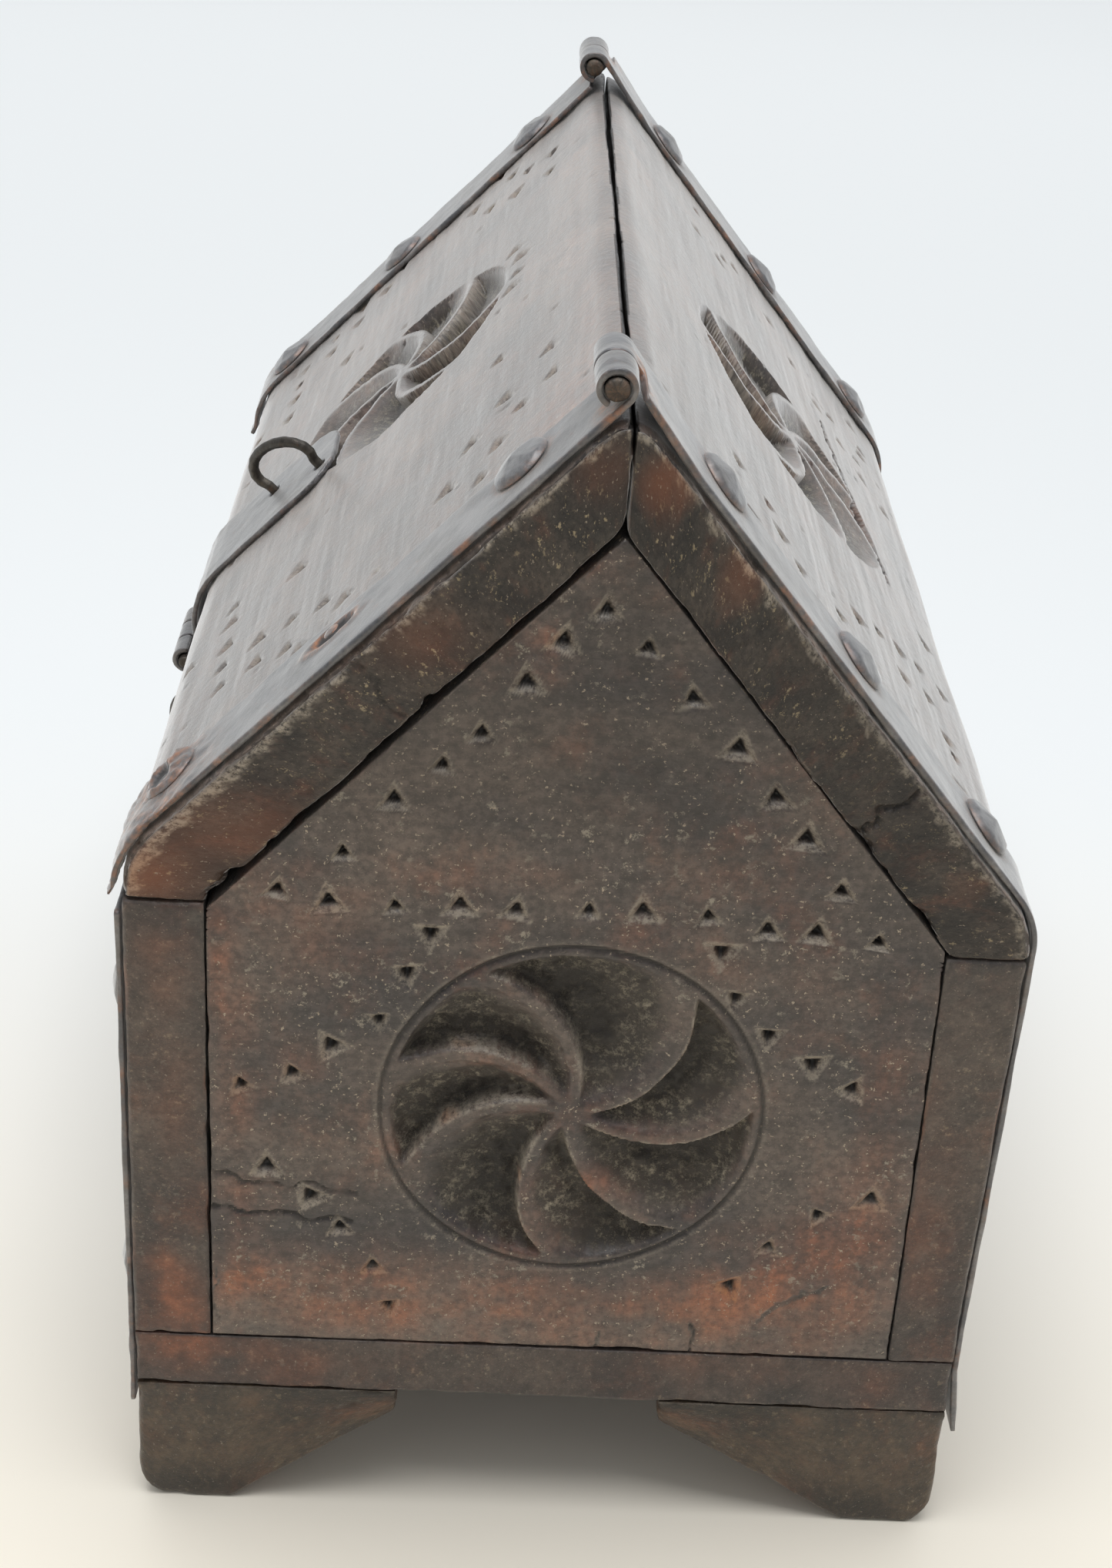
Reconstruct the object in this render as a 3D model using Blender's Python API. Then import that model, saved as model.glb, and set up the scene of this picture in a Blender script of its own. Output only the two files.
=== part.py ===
"""Gable-roofed wooden storage box with iron straps.

The front half of the roof is the lid. It turns on two iron knuckle hinges above the ridge.
The ridge runs along X, the lid faces -Y, and the box stands on z = 0. Units are metres.
"""

import math

import bmesh
import bpy
from mathutils import Matrix, Vector

for old in list(bpy.data.objects):
    bpy.data.objects.remove(old, do_unlink=True)

# Overall form
length = 0.267
width = 0.165
ridge_height = 0.239
ridge_offset = 0.004
ridge_round = 0.0065
front_eave_depth = 0.0083
back_eave_depth = 0.007
front_eave_round = 0.0175
back_eave_round = 0.0155
front_wall_top = 0.142
back_wall_top = 0.137
back_lean = 0.002

# Boards
wall_thickness = 0.015
gable_thickness = 0.013
lid_ridge_depth = 0.0211
lid_edge_width = 0.0151
back_ridge_depth = 0.0225
back_edge_width = 0.01415
base_thickness = 0.0125
lid_corner_radius = 0.008
board_edge = 0.0007

# Feet
foot_height = 0.030
foot_drop = 0.005
foot_length = 0.052
foot_front_width = 0.052
foot_back_width = 0.058
foot_sole_inset = 0.0055
foot_sole_width = 0.013
foot_corner = 0.007

# Clearances
seam = 0.0003
lid_gap = 0.0012
overrun = 0.004

# Carved rosettes
rosette_radius = 0.0345
rosette_depth = 0.0036
rosette_arm_depth = 0.0003
rosette_height = 0.0995
rosette_shift = 0.001
rosette_front_drop = 0.064
rosette_front_x = -0.015
rosette_front_scale = 0.93
rosette_back_drop = 0.064
rosette_back_x = 0.005
rosette_back_scale = 0.985
arm_angles = (7.0, 48.6, 127.0, 168.0, 204.0, 262.0, 320.0)
arm_twist = 38.0
arm_twist_power = 1.5
ring_shares = (0.10, 0.27, 0.47, 0.67, 0.83, 0.94, 1.0)
ring_depth_shares = (0.20, 0.60, 0.95, 1.0, 0.92, 0.60, 0.12)
petal_shares = (0.0, 0.12, 0.36, 0.64, 0.87)
petal_depth_shares = (0.0, 1.0, 0.82, 0.42, 0.05)

# Iron straps
strap_thickness = 0.00125
strap_width = 0.020
strap_inset = 0.001
eye_clearance = 0.004
strap_rise_drop = 0.017
lid_tongue = 0.001
lid_tongue_curl = 0.001
front_strap_top_drop = 0.0035
strap_foot_gap = 0.0235
strap_spring = 0.002
strap_spring_length = 0.016

# Hinge at the ridge
pin_drop = 0.0003
pin_radius = 0.0021
pin_overhang = 0.0011
pin_lip_share = 0.25
knuckle_gap = 0.0004
lid_eye_turn = 292.0
back_eye_turn = 235.0

# Dome-headed nails
nail_head_radius = 0.0063
nail_head_height = 0.0027
nail_shank_radius = 0.0014
nail_tip_radius = 0.0007
nail_length = 0.0065
nail_inset = 0.0140
dome_radius_shares = (1.0, 0.97, 0.80, 0.48)
dome_height_shares = (0.12, 0.35, 0.70, 0.93)
nail_margin = 0.0007
lid_nail_shares = (0.564, 0.898)
back_nail_shares = (0.537, 0.878)
front_wall_nail_shares = (0.738, 0.09)
back_wall_nail_shares = (0.776, 0.042)

# Hasp plate on the lid, its loop, the hinged tongue and the staple on the front wall
hasp_slide = 0.001
hasp_width = 0.030
hasp_plate_reach = 0.0419
hasp_top_round = 0.010
hasp_neck_width = 0.024
hasp_standoff = 0.0012
hasp_bend_radius = 0.018
hasp_pin_drop = 0.010
hasp_pin_radius = 0.0015
hasp_eye_turn = 285.0
hasp_knuckle_width = 0.008
tongue_width = 0.021
tongue_length = 0.041
tongue_shoulder = 0.0040
slot_width = 0.0052
slot_top_drop = 0.0105
slot_length = 0.0235
loop_wire_radius = 0.0013
loop_upper_margin = 0.0045
loop_lower_margin = 0.0200
loop_upper_side = 0.0065
loop_lower_side = 0.0050
loop_height = 0.0112
loop_flare = 0.0010
loop_depth = 0.0070
staple_wire_radius = 0.0015
staple_drop = 0.0190
staple_span = 0.0110
staple_reach = 0.0085
staple_depth = 0.0100

# Finish
wood_colour = (0.075, 0.042, 0.031, 1.0)
wood_roughness = 0.55
iron_colour = (0.060, 0.057, 0.055, 1.0)
iron_roughness = 0.60

round_sides = 12
hole_sides = 8
wire_sides = 10
eye_steps = 14
bend_steps = 4

half_length = length / 2
half_width = width / 2
base_top = foot_height + base_thickness
ridge = Vector((ridge_offset, ridge_height))
back_foot_y = half_width - back_lean
strap_offset = seam + strap_thickness / 2
nail_seat = seam + strap_thickness + seam
eye_radius = pin_radius + seam + strap_thickness / 2


def make_material(name, colour, roughness, metallic):
    material = bpy.data.materials.new(name)
    material.use_nodes = True
    shader = material.node_tree.nodes["Principled BSDF"]
    shader.inputs["Base Color"].default_value = colour
    shader.inputs["Roughness"].default_value = roughness
    shader.inputs["Metallic"].default_value = metallic
    return material


def add_object(name, mesh_data, parent=None):
    item = bpy.data.objects.new(name, mesh_data)
    bpy.context.scene.collection.objects.link(item)
    if parent is not None:
        item.parent = parent
        item.matrix_parent_inverse = parent.matrix_world.inverted()
    return item


def finish_mesh(name, bm, kind, parent=None, smooth=False):
    """Turns a bmesh into a named object with its own material."""
    bmesh.ops.recalc_face_normals(bm, faces=bm.faces)
    mesh = bpy.data.meshes.new(name)
    bm.to_mesh(mesh)
    bm.free()
    if kind == "wood":
        mesh.materials.append(make_material(name, wood_colour, wood_roughness, 0.0))
    elif kind == "iron":
        mesh.materials.append(make_material(name, iron_colour, iron_roughness, 1.0))
    if smooth:
        mesh.shade_smooth()
        mesh.set_sharp_from_angle(angle=math.radians(35))
    return add_object(name, mesh, parent)


def extrusion(name, outline, travel, kind, parent=None):
    """A solid from a closed outline of points in space, carried along a vector."""
    bm = bmesh.new()
    face = bm.faces.new([bm.verts.new(point) for point in outline])
    grown = bmesh.ops.extrude_face_region(bm, geom=[face])
    moved = [part for part in grown["geom"] if isinstance(part, bmesh.types.BMVert)]
    bmesh.ops.translate(bm, verts=moved, vec=travel)
    return finish_mesh(name, bm, kind, parent)


def board(name, outline, x_from, x_to, parent=None):
    """A wooden board whose (y, z) outline runs along X, with rubbed-down edges."""
    points = [(x_from, y, z) for y, z in outline]
    item = extrusion(name, points, (x_to - x_from, 0, 0), "wood", parent)
    soften(item, board_edge)
    return item


def soften(item, amount):
    """Rubbed-down board edges."""
    bevel = item.modifiers.new("Worn edges", "BEVEL")
    bevel.width = amount
    bevel.segments = 1
    bevel.limit_method = "ANGLE"
    bevel.angle_limit = math.radians(50)


def as_cutter(item):
    item.hide_render = True
    item.display_type = "WIRE"
    return item


def cut(item, cutter):
    boolean = item.modifiers.new("Cut " + cutter.name, "BOOLEAN")
    boolean.operation = "DIFFERENCE"
    boolean.solver = "EXACT"
    boolean.object = cutter


def arc(centre, radius, start, turn, steps):
    """Points on a circle in the YZ plane, from angle start through turn, in degrees."""
    points = []
    for step in range(steps + 1):
        angle = math.radians(start + turn * step / steps)
        points.append(centre + radius * Vector((math.cos(angle), math.sin(angle))))
    return points


def rounding(before, corner, after, radius):
    """Centre, start angle and turn of the arc that rounds a corner between two straight runs."""
    to_before = (before - corner).normalized()
    to_after = (after - corner).normalized()
    half_angle = to_before.angle(to_after) / 2
    bisector = (to_before + to_after).normalized()
    centre = corner + bisector * (radius / math.sin(half_angle))
    first = corner + to_before * (radius / math.tan(half_angle)) - centre
    last = corner + to_after * (radius / math.tan(half_angle)) - centre
    start = math.degrees(math.atan2(first.y, first.x))
    turn = math.degrees(math.atan2(last.y, last.x)) - start
    return centre, start, (turn + 180.0) % 360.0 - 180.0


def fillet(before, corner, after, radius, steps):
    """The points that round a corner between two straight runs."""
    centre, start, turn = rounding(before, corner, after, radius)
    return arc(centre, radius, start, turn, steps)


def meet(point_a, direction_a, point_b, direction_b):
    """Where two lines of the YZ plane cross."""
    across = Vector((-direction_b.y, direction_b.x))
    share = (point_b - point_a).dot(across) / direction_a.dot(across)
    return point_a + direction_a * share


class Slope:
    """A face of the roof: distances run down it from its top, heights stand off it."""

    def __init__(self, top, foot, outward):
        self.top = top
        self.foot = foot
        self.run = (foot - top).length
        self.down = (foot - top) / self.run
        self.out = Vector((-self.down.y, self.down.x)) * outward

    def at(self, drop, height=0.0):
        return self.top + self.down * drop + self.out * height

    def place(self, x, drop, height=0.0):
        point = self.at(drop, height)
        return Vector((x, point.x, point.y))

    def frame(self, x, drop, height=0.0):
        """A matrix whose Z stands off the slope and whose Y points up it."""
        up = Vector((0, -self.down.x, -self.down.y))
        out = Vector((0, self.out.x, self.out.y))
        side = up.cross(out)
        turn = Matrix((side, up, out)).transposed().to_4x4()
        return Matrix.Translation(self.place(x, drop, height)) @ turn


front = Slope(ridge, Vector((-half_width, front_wall_top + front_eave_depth)), -1.0)
back = Slope(ridge, Vector((half_width, back_wall_top + back_eave_depth)), 1.0)
lid_foot = Vector((lid_edge_width - half_width, front_wall_top))
back_foot = Vector((half_width - back_edge_width, back_wall_top))
lid_inner = Slope(ridge - Vector((0, lid_ridge_depth)), lid_foot, -1.0)
back_inner = Slope(ridge - Vector((0, back_ridge_depth)), back_foot, 1.0)
pin_axis = front.at(pin_drop, strap_offset + eye_radius)
hasp_top_drop = front.run - hasp_plate_reach
up_z = Vector((0, 1))
down_z = Vector((0, -1))
front_eave_arc = fillet(ridge, front.foot, front.foot + down_z, front_eave_round, bend_steps)
back_eave_arc = fillet(ridge, back.foot, back.foot + down_z, back_eave_round, bend_steps)


def crest_half(side):
    """The rounded crest on one side of the seam, from the seam to the slope."""
    centre, start, turn = rounding(front.foot, ridge, back.foot, ridge_round)
    seam_angle = math.degrees(math.acos((ridge.x + side * seam - centre.x) / ridge_round))
    slope_angle = start if side < 0 else start + turn
    return arc(centre, ridge_round, seam_angle, slope_angle - seam_angle, bend_steps)


def wall_plane_frame(x, y, z, outward):
    """A matrix whose Z points out of a wall that faces along Y."""
    out = Vector((0, outward, 0))
    up = Vector((0, 0, 1))
    side = up.cross(out)
    return Matrix.Translation((x, y, z)) @ Matrix((side, up, out)).transposed().to_4x4()


back_wall_top_corner = Vector((half_width, back_wall_top))
back_wall_down = (Vector((back_foot_y, base_top)) - back_wall_top_corner).normalized()
front_wall_inner = -half_width + wall_thickness
back_wall_inner = half_width - wall_thickness


# Joint axes


def axis_empty(name, y, z):
    empty = bpy.data.objects.new(name, None)
    empty.location = (0, y, z)
    bpy.context.scene.collection.objects.link(empty)
    bpy.context.view_layer.update()
    return empty


hasp_leaf_y = -half_width - hasp_standoff - strap_thickness / 2
hasp_eye_radius = hasp_pin_radius + seam + strap_thickness / 2
hasp_axis = Vector((hasp_leaf_y - hasp_eye_radius, front_wall_top - hasp_pin_drop))
lid_axis_empty = axis_empty("lid_axis", pin_axis.x, pin_axis.y)
hasp_axis_empty = axis_empty("hasp_axis", hasp_axis.x, hasp_axis.y)
hasp_axis_empty.parent = lid_axis_empty
hasp_axis_empty.matrix_parent_inverse = lid_axis_empty.matrix_world.inverted()
bpy.context.view_layer.update()


# Cutters


def lathe(bm, frame, profile, sides):
    """Turns a profile of (radius, height) about the frame's Z. Its ends lie on the axis."""
    rings = []
    for radius, height in profile:
        if radius == 0:
            rings.append([bm.verts.new(frame @ Vector((0, 0, height)))])
            continue
        ring = []
        for side in range(sides):
            angle = math.tau * side / sides
            spot = Vector((radius * math.cos(angle), radius * math.sin(angle), height))
            ring.append(bm.verts.new(frame @ spot))
        rings.append(ring)
    for upper, lower in zip(rings, rings[1:]):
        for side in range(sides):
            following = (side + 1) % sides
            corners = []
            for ring, index in ((upper, side), (upper, following), (lower, following), (lower, side)):
                vertex = ring[index] if len(ring) > 1 else ring[0]
                if vertex not in corners:
                    corners.append(vertex)
            bm.faces.new(corners)


def drill(name, frames, radius, depth, sides=hole_sides):
    """One cutter with a round hole at each frame, from above the surface down to depth."""
    bm = bmesh.new()
    outer = (radius + seam) / math.cos(math.pi / sides)
    for frame in frames:
        lathe(bm, frame, ((0, overrun), (outer, overrun), (outer, -depth), (0, -depth)), sides)
    return as_cutter(finish_mesh(name, bm, "cutter"))


def polar(frame, reach, degrees, height):
    """A point of a frame, by its distance and bearing round the frame's Z."""
    bearing = math.radians(degrees)
    return frame @ Vector((reach * math.cos(bearing), reach * math.sin(bearing), height))


def rosette_cutter(name, frame, radius, turn):
    """A whorl of seven hollows, each steep beside one arm and rising gently to the next."""
    bm = bmesh.new()
    columns = []
    for index, angle in enumerate(arm_angles):
        before = arm_angles[index - 1] - (360.0 if index == 0 else 0.0)
        for share, depth_share in zip(petal_shares, petal_depth_shares):
            columns.append((angle + (before - angle) * share, depth_share))
    columns.sort()
    rings = []
    for ring_share, ring_depth in zip(ring_shares, ring_depth_shares):
        twist = arm_twist * (1 - ring_share**arm_twist_power)
        ring = []
        for angle, depth_share in columns:
            carved = (rosette_depth - rosette_arm_depth) * depth_share * ring_depth
            spot = polar(frame, radius * ring_share, angle + turn - twist, -rosette_arm_depth - carved)
            ring.append(bm.verts.new(spot))
        rings.append(ring)
    top_ring = [bm.verts.new(polar(frame, radius, angle + turn, overrun)) for angle, _ in columns]
    rings.append(top_ring)
    middle = bm.verts.new(frame @ Vector((0, 0, -rosette_arm_depth)))
    count = len(columns)
    for side in range(count):
        following = (side + 1) % count
        bm.faces.new((middle, rings[0][side], rings[0][following]))
        for inner, outer in zip(rings, rings[1:]):
            bm.faces.new((inner[side], outer[side], outer[following], inner[following]))
    bm.faces.new(top_ring)
    bmesh.ops.triangulate(bm, faces=[face for face in bm.faces if len(face.verts) > 3])
    return as_cutter(finish_mesh(name, bm, "cutter"))


# Nail places, from which both the nails and their holes are made


def end_x(side, inset):
    """The place along the ridge that lies inset from the end on that side."""
    return side * (half_length - inset)


wall_height_front = front_wall_top - base_top
wall_height_back = back_wall_top - base_top


def lean_y(z):
    """The outer face of the leaning back wall at a height."""
    return half_width - back_lean * (back_wall_top - z) / wall_height_back


def nail_frames(side):
    """Frames on the wood surface for each strap's nails at one end of the box."""
    x = end_x(side, nail_inset)
    first_drop = strap_rise_drop + nail_head_radius + nail_margin
    lid_nails = [front.frame(x, first_drop)]
    lid_nails += [front.frame(x, front.run * share) for share in lid_nail_shares]
    back_nails = [back.frame(x, first_drop)]
    back_nails += [back.frame(x, back.run * share) for share in back_nail_shares]
    front_nails = []
    for share in front_wall_nail_shares:
        front_nails.append(wall_plane_frame(x, -half_width, base_top + wall_height_front * share, -1))
    wall_nails = []
    for share in back_wall_nail_shares:
        z = base_top + wall_height_back * share
        lean = Matrix.Rotation(math.atan2(back_lean, wall_height_back), 4, "X")
        wall_nails.append(wall_plane_frame(x, lean_y(z), z, 1) @ lean)
    return {"lid": lid_nails, "back": back_nails, "front": front_nails, "wall": wall_nails}


sides = {"right": 1, "left": -1}
nails_at = {name: nail_frames(side) for name, side in sides.items()}


def drill_for(name, key):
    frames = nails_at["right"][key] + nails_at["left"][key]
    return drill(name, frames, nail_shank_radius, nail_length + seam)


lid_nail_holes = drill_for("cut_lid_nails", "lid")
back_nail_holes = drill_for("cut_back_nails", "back")
front_nail_holes = drill_for("cut_front_wall_nails", "front")
wall_nail_holes = drill_for("cut_back_wall_nails", "wall")


# Boards


def make_base():
    outline = (
        (-half_width, foot_height),
        (back_foot_y, foot_height),
        (back_foot_y, base_top),
        (-half_width, base_top),
    )
    board("base_board", outline, -half_length, half_length)


def make_walls():
    top = front_wall_top - seam
    outline = [
        (-half_width, base_top + seam),
        (front_wall_inner, base_top + seam),
        (front_wall_inner, top),
        (-half_width, top),
    ]
    wall = board("front_wall", outline, -half_length, half_length)
    cut(wall, front_nail_holes)
    top = back_wall_top - seam
    outline = [
        (back_wall_inner, base_top + seam),
        (back_foot_y, base_top + seam),
        (lean_y(top), top),
        (back_wall_inner, top),
    ]
    back_wall = board("back_wall", outline, -half_length, half_length)
    cut(back_wall, wall_nail_holes)
    return wall


def make_gable(name, side):
    """The end panel stands between the walls, under both roof boards."""
    lid_clear = lid_inner.at(0, -lid_gap)
    roof_clear = back_inner.at(0, -seam)
    left_y = front_wall_inner + seam
    right_y = back_wall_inner - seam
    outline = [
        (left_y, base_top + seam),
        (right_y, base_top + seam),
        meet(roof_clear, back_inner.down, Vector((right_y, 0)), up_z),
        meet(lid_clear, lid_inner.down, roof_clear, back_inner.down),
        meet(lid_clear, lid_inner.down, Vector((left_y, 0)), up_z),
    ]
    gable = board(name, outline, side * (half_length - gable_thickness), side * half_length)
    out = Vector((side, 0, 0))
    up = Vector((0, 0, 1))
    across = up.cross(out)
    frame = Matrix.Translation((side * half_length, rosette_shift, rosette_height))
    frame = frame @ Matrix((across, up, out)).transposed().to_4x4()
    cut(gable, rosette_cutter("cut_rosette_" + name, frame, rosette_radius, 0.0))


def make_roof():
    seam_step = Vector((seam, 0))
    inner_corner = fillet(lid_inner.foot, lid_inner.top, ridge, lid_corner_radius, bend_steps)
    outline = [lid_inner.foot]
    outline += [point - seam_step for point in inner_corner]
    outline += crest_half(-1) + front_eave_arc + [(-half_width, front_wall_top)]
    lid = board("lid_board", outline, -half_length, half_length, lid_axis_empty)
    cut(lid, lid_nail_holes)
    frame = front.frame(rosette_front_x, rosette_front_drop)
    cut(lid, rosette_cutter("cut_rosette_lid", frame, rosette_radius * rosette_front_scale, 20.0))
    outline = [back_inner.top + seam_step] + crest_half(1) + back_eave_arc
    outline += [back_wall_top_corner, back_inner.foot]
    roof = board("back_roof_board", outline, -half_length, half_length)
    cut(roof, back_nail_holes)
    frame = back.frame(rosette_back_x, rosette_back_drop)
    cut(roof, rosette_cutter("cut_rosette_back", frame, rosette_radius * rosette_back_scale, 70.0))
    return lid


def make_foot(name, side, outward):
    """A bracket foot: sloped on both inner faces down to a small sole."""
    outer_y = -half_width if outward < 0 else back_foot_y
    foot_width = foot_front_width if outward < 0 else foot_back_width
    top = foot_height - seam

    def y_at(inset):
        return outer_y - outward * inset

    sole_end = foot_sole_inset + foot_sole_width
    corner = fillet(
        Vector((y_at(0), top)), Vector((y_at(0), 0)), Vector((y_at(sole_end), 0)), foot_corner, bend_steps
    )
    outline = [(y_at(foot_width), top), (y_at(0), top)]
    outline += corner
    outline += [(y_at(sole_end), 0), (y_at(foot_width), foot_height - foot_drop)]
    x_outer = side * half_length
    x_inner = side * (half_length - foot_length)
    foot = board(name, outline, x_inner, x_outer)
    low_inner = Vector((x_inner, foot_height - foot_drop))
    sole_inner = Vector((side * (half_length - sole_end), 0))
    reach = (sole_inner - low_inner).normalized() * overrun
    clear_x = x_inner - side * overrun
    wedge = [low_inner - reach, sole_inner + reach]
    wedge += [Vector((clear_x, -foot_height)), Vector((clear_x, low_inner.y))]
    points = [(spot.x, -width, spot.y) for spot in wedge]
    cut(foot, as_cutter(extrusion("cut_" + name, points, (0, width * 2, 0), "cutter")))


make_base()
front_wall = make_walls()
for side_name, side_sign in sides.items():
    make_gable("gable_" + side_name, side_sign)
    make_foot("foot_front_" + side_name, side_sign, -1)
    make_foot("foot_back_" + side_name, side_sign, 1)
lid_board = make_roof()


# Iron straps, bent from strip


def strip(name, rows, parent=None, thickness=strap_thickness):
    """Bends a strip along rows of (point, x edges, panels); panels are the columns that go on."""
    bm = bmesh.new()
    grid = [[bm.verts.new((x, point.x, point.y)) for x in edges] for point, edges, _ in rows]
    for (_, _, panels), upper, lower in zip(rows[1:], grid, grid[1:]):
        for panel in panels:
            bm.faces.new((upper[panel], upper[panel + 1], lower[panel + 1], lower[panel]))
    loose = [vertex for vertex in bm.verts if not vertex.link_faces]
    bmesh.ops.delete(bm, geom=loose, context="VERTS")
    item = finish_mesh(name, bm, "iron", parent)
    shell = item.modifiers.new("Strip thickness", "SOLIDIFY")
    shell.thickness = thickness
    shell.offset = 0.0
    shell.use_even_offset = True
    return item


def eye(start, centre, radius, turn, steps=eye_steps):
    """The run from a point to an eye and round it, counter-clockwise, in the YZ plane."""
    toward = centre - start
    distance = toward.length
    heading = math.atan2(toward.y, toward.x) - math.asin(radius / distance)
    return arc(centre, radius, math.degrees(heading) - 90.0, turn, steps)


def strap_edges(side):
    """The strap's edges along the ridge, from its outer one in, split in two with a narrow gap."""
    outer = end_x(side, strap_inset)
    inner = end_x(side, strap_inset + strap_width)
    middle = (outer + inner) / 2
    half_gap = side * knuckle_gap / 2
    return outer, middle + half_gap, middle - half_gap, inner


def strap_rows(path, eye_points, side, eye_panel):
    """Full width along the path, then only one half for the hinge eye."""
    edges = strap_edges(side)
    rows = [(point, edges, (0, 1, 2)) for point in path]
    rows += [(point, edges, (eye_panel,)) for point in eye_points]
    return rows


def make_lid_strap(name, side):
    rise_from = front.at(strap_rise_drop, strap_offset)
    points = eye(rise_from, pin_axis, eye_radius, lid_eye_turn)
    notch = points[0] + (rise_from - points[0]).normalized() * eye_clearance
    tip = Vector((-half_width - strap_offset - lid_tongue_curl, front_wall_top - lid_tongue))
    plane = front.at(0, strap_offset)
    corner = meet(plane, front.down, Vector((-half_width - strap_offset, 0)), up_z)
    bend = fillet(plane, corner, corner + down_z, front_eave_round + strap_offset, bend_steps)
    path = [tip] + bend[::-1] + [rise_from, notch]
    strap = strip(name, strap_rows(path, points, side, 0), lid_axis_empty)
    cut(strap, lid_nail_holes)


def make_back_strap(name, side):
    rise_from = back.at(strap_rise_drop, strap_offset)
    points = eye(rise_from, pin_axis, eye_radius, back_eye_turn)
    notch = points[0] + (rise_from - points[0]).normalized() * eye_clearance
    wall_out = Vector((-back_wall_down.y, back_wall_down.x))
    wall_start = back_wall_top_corner + wall_out * strap_offset
    plane = back.at(0, strap_offset)
    corner = meet(plane, back.down, wall_start, back_wall_down)
    wall_end = meet(wall_start, back_wall_down, Vector((0, strap_foot_gap)), Vector((1, 0)))
    spring_from = wall_end - back_wall_down * strap_spring_length
    free_end = wall_end + wall_out * strap_spring
    below = corner + back_wall_down
    bend = fillet(plane, corner, below, back_eave_round + strap_offset, bend_steps)
    path = [free_end, spring_from] + bend[::-1] + [rise_from, notch]
    strap = strip(name, strap_rows(path, points, side, 2))
    cut(strap, back_nail_holes)
    cut(strap, wall_nail_holes)


def make_front_strap(name, side):
    y = -half_width - strap_offset
    edges = (end_x(side, strap_inset), end_x(side, strap_inset + strap_width))
    top = Vector((y, front_wall_top - front_strap_top_drop))
    bottom = Vector((y, strap_foot_gap))
    strap = strip(name, [(top, edges, (0,)), (bottom, edges, (0,))])
    cut(strap, front_nail_holes)


def along_x(start, end, y, z):
    """A matrix whose Z runs along X from start towards end."""
    direction = Vector((math.copysign(1.0, end - start), 0, 0))
    return Matrix.Translation((start, y, z)) @ direction.to_track_quat("Z", "Y").to_matrix().to_4x4()


def pin(name, x_from, x_to, axis, radius, parent=None):
    """A round pin whose ends are slightly hammered over."""
    long = abs(x_to - x_from)
    lip = radius * pin_lip_share
    profile = [(0, 0), (radius - lip, 0), (radius, lip)]
    profile += [(radius, long - lip), (radius - lip, long), (0, long)]
    bm = bmesh.new()
    lathe(bm, along_x(x_from, x_to, axis.x, axis.y), profile, round_sides)
    return finish_mesh(name, bm, "iron", parent, smooth=True)


def nail(name, frame, parent=None, headless=False):
    """A dome-headed nail that stands on the strap with its shank in the wood."""
    seat = nail_seat
    profile = [(0, seat + nail_head_height)]
    for radius_share, height_share in zip(dome_radius_shares[::-1], dome_height_shares[::-1]):
        profile.append((nail_head_radius * radius_share, seat + nail_head_height * height_share))
    profile.append((nail_head_radius, seat))
    if headless:
        profile = [(0, seat)]
    profile += [(nail_shank_radius, seat), (nail_tip_radius, -nail_length), (0, -nail_length)]
    bm = bmesh.new()
    lathe(bm, frame, profile, round_sides)
    return finish_mesh(name, bm, "iron", parent, smooth=True)


nail_names = {"lid": "lid_nail", "back": "roof_nail", "wall": "back_nail", "front": "front_nail"}
for side_name, side_sign in sides.items():
    make_lid_strap("lid_strap_" + side_name, side_sign)
    make_back_strap("back_strap_" + side_name, side_sign)
    make_front_strap("front_strap_" + side_name, side_sign)
    pin_start = end_x(side_sign, strap_inset - pin_overhang)
    pin_end = end_x(side_sign, strap_inset + strap_width + pin_overhang)
    pin("hinge_pin_" + side_name, pin_start, pin_end, pin_axis, pin_radius)
    for key, stem in nail_names.items():
        for number, place in enumerate(nails_at[side_name][key], 1):
            headless = (key, side_name, number) == ("lid", "right", 2)
            carrier = lid_axis_empty if key == "lid" else None
            nail(stem + "_" + side_name + "_" + str(number), place, carrier, headless)


# Hasp


def wire(name, points, radius, parent=None):
    """A bent round wire with flat ends."""
    curve = bpy.data.curves.new(name, "CURVE")
    curve.dimensions = "3D"
    curve.bevel_depth = radius
    curve.bevel_resolution = 2
    curve.use_fill_caps = True
    spline = curve.splines.new("POLY")
    spline.points.add(len(points) - 1)
    for spot, point in zip(spline.points, points):
        spot.co = (*point, 1.0)
    curve.materials.append(make_material(name, iron_colour, iron_roughness, 1.0))
    return add_object(name, curve, parent)


def loop_points(frame, half_span, foot_depth, height, steps=12):
    """Two legs into the wood and an oval bow that flares a little past them. The bow lies in XZ."""
    bow_half = half_span + loop_flare
    lift = height / 2
    rise = height - lift
    dip = math.asin(min(1.0, math.sqrt(1 - (half_span / bow_half) ** 2)))
    points = [frame @ Vector((half_span, 0, -foot_depth))]
    for step in range(steps + 1):
        angle = -dip + (math.pi + 2 * dip) * step / steps
        points.append(frame @ Vector((bow_half * math.cos(angle), 0, lift + rise * math.sin(angle))))
    points.append(frame @ Vector((-half_span, 0, -foot_depth)))
    return points


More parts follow.
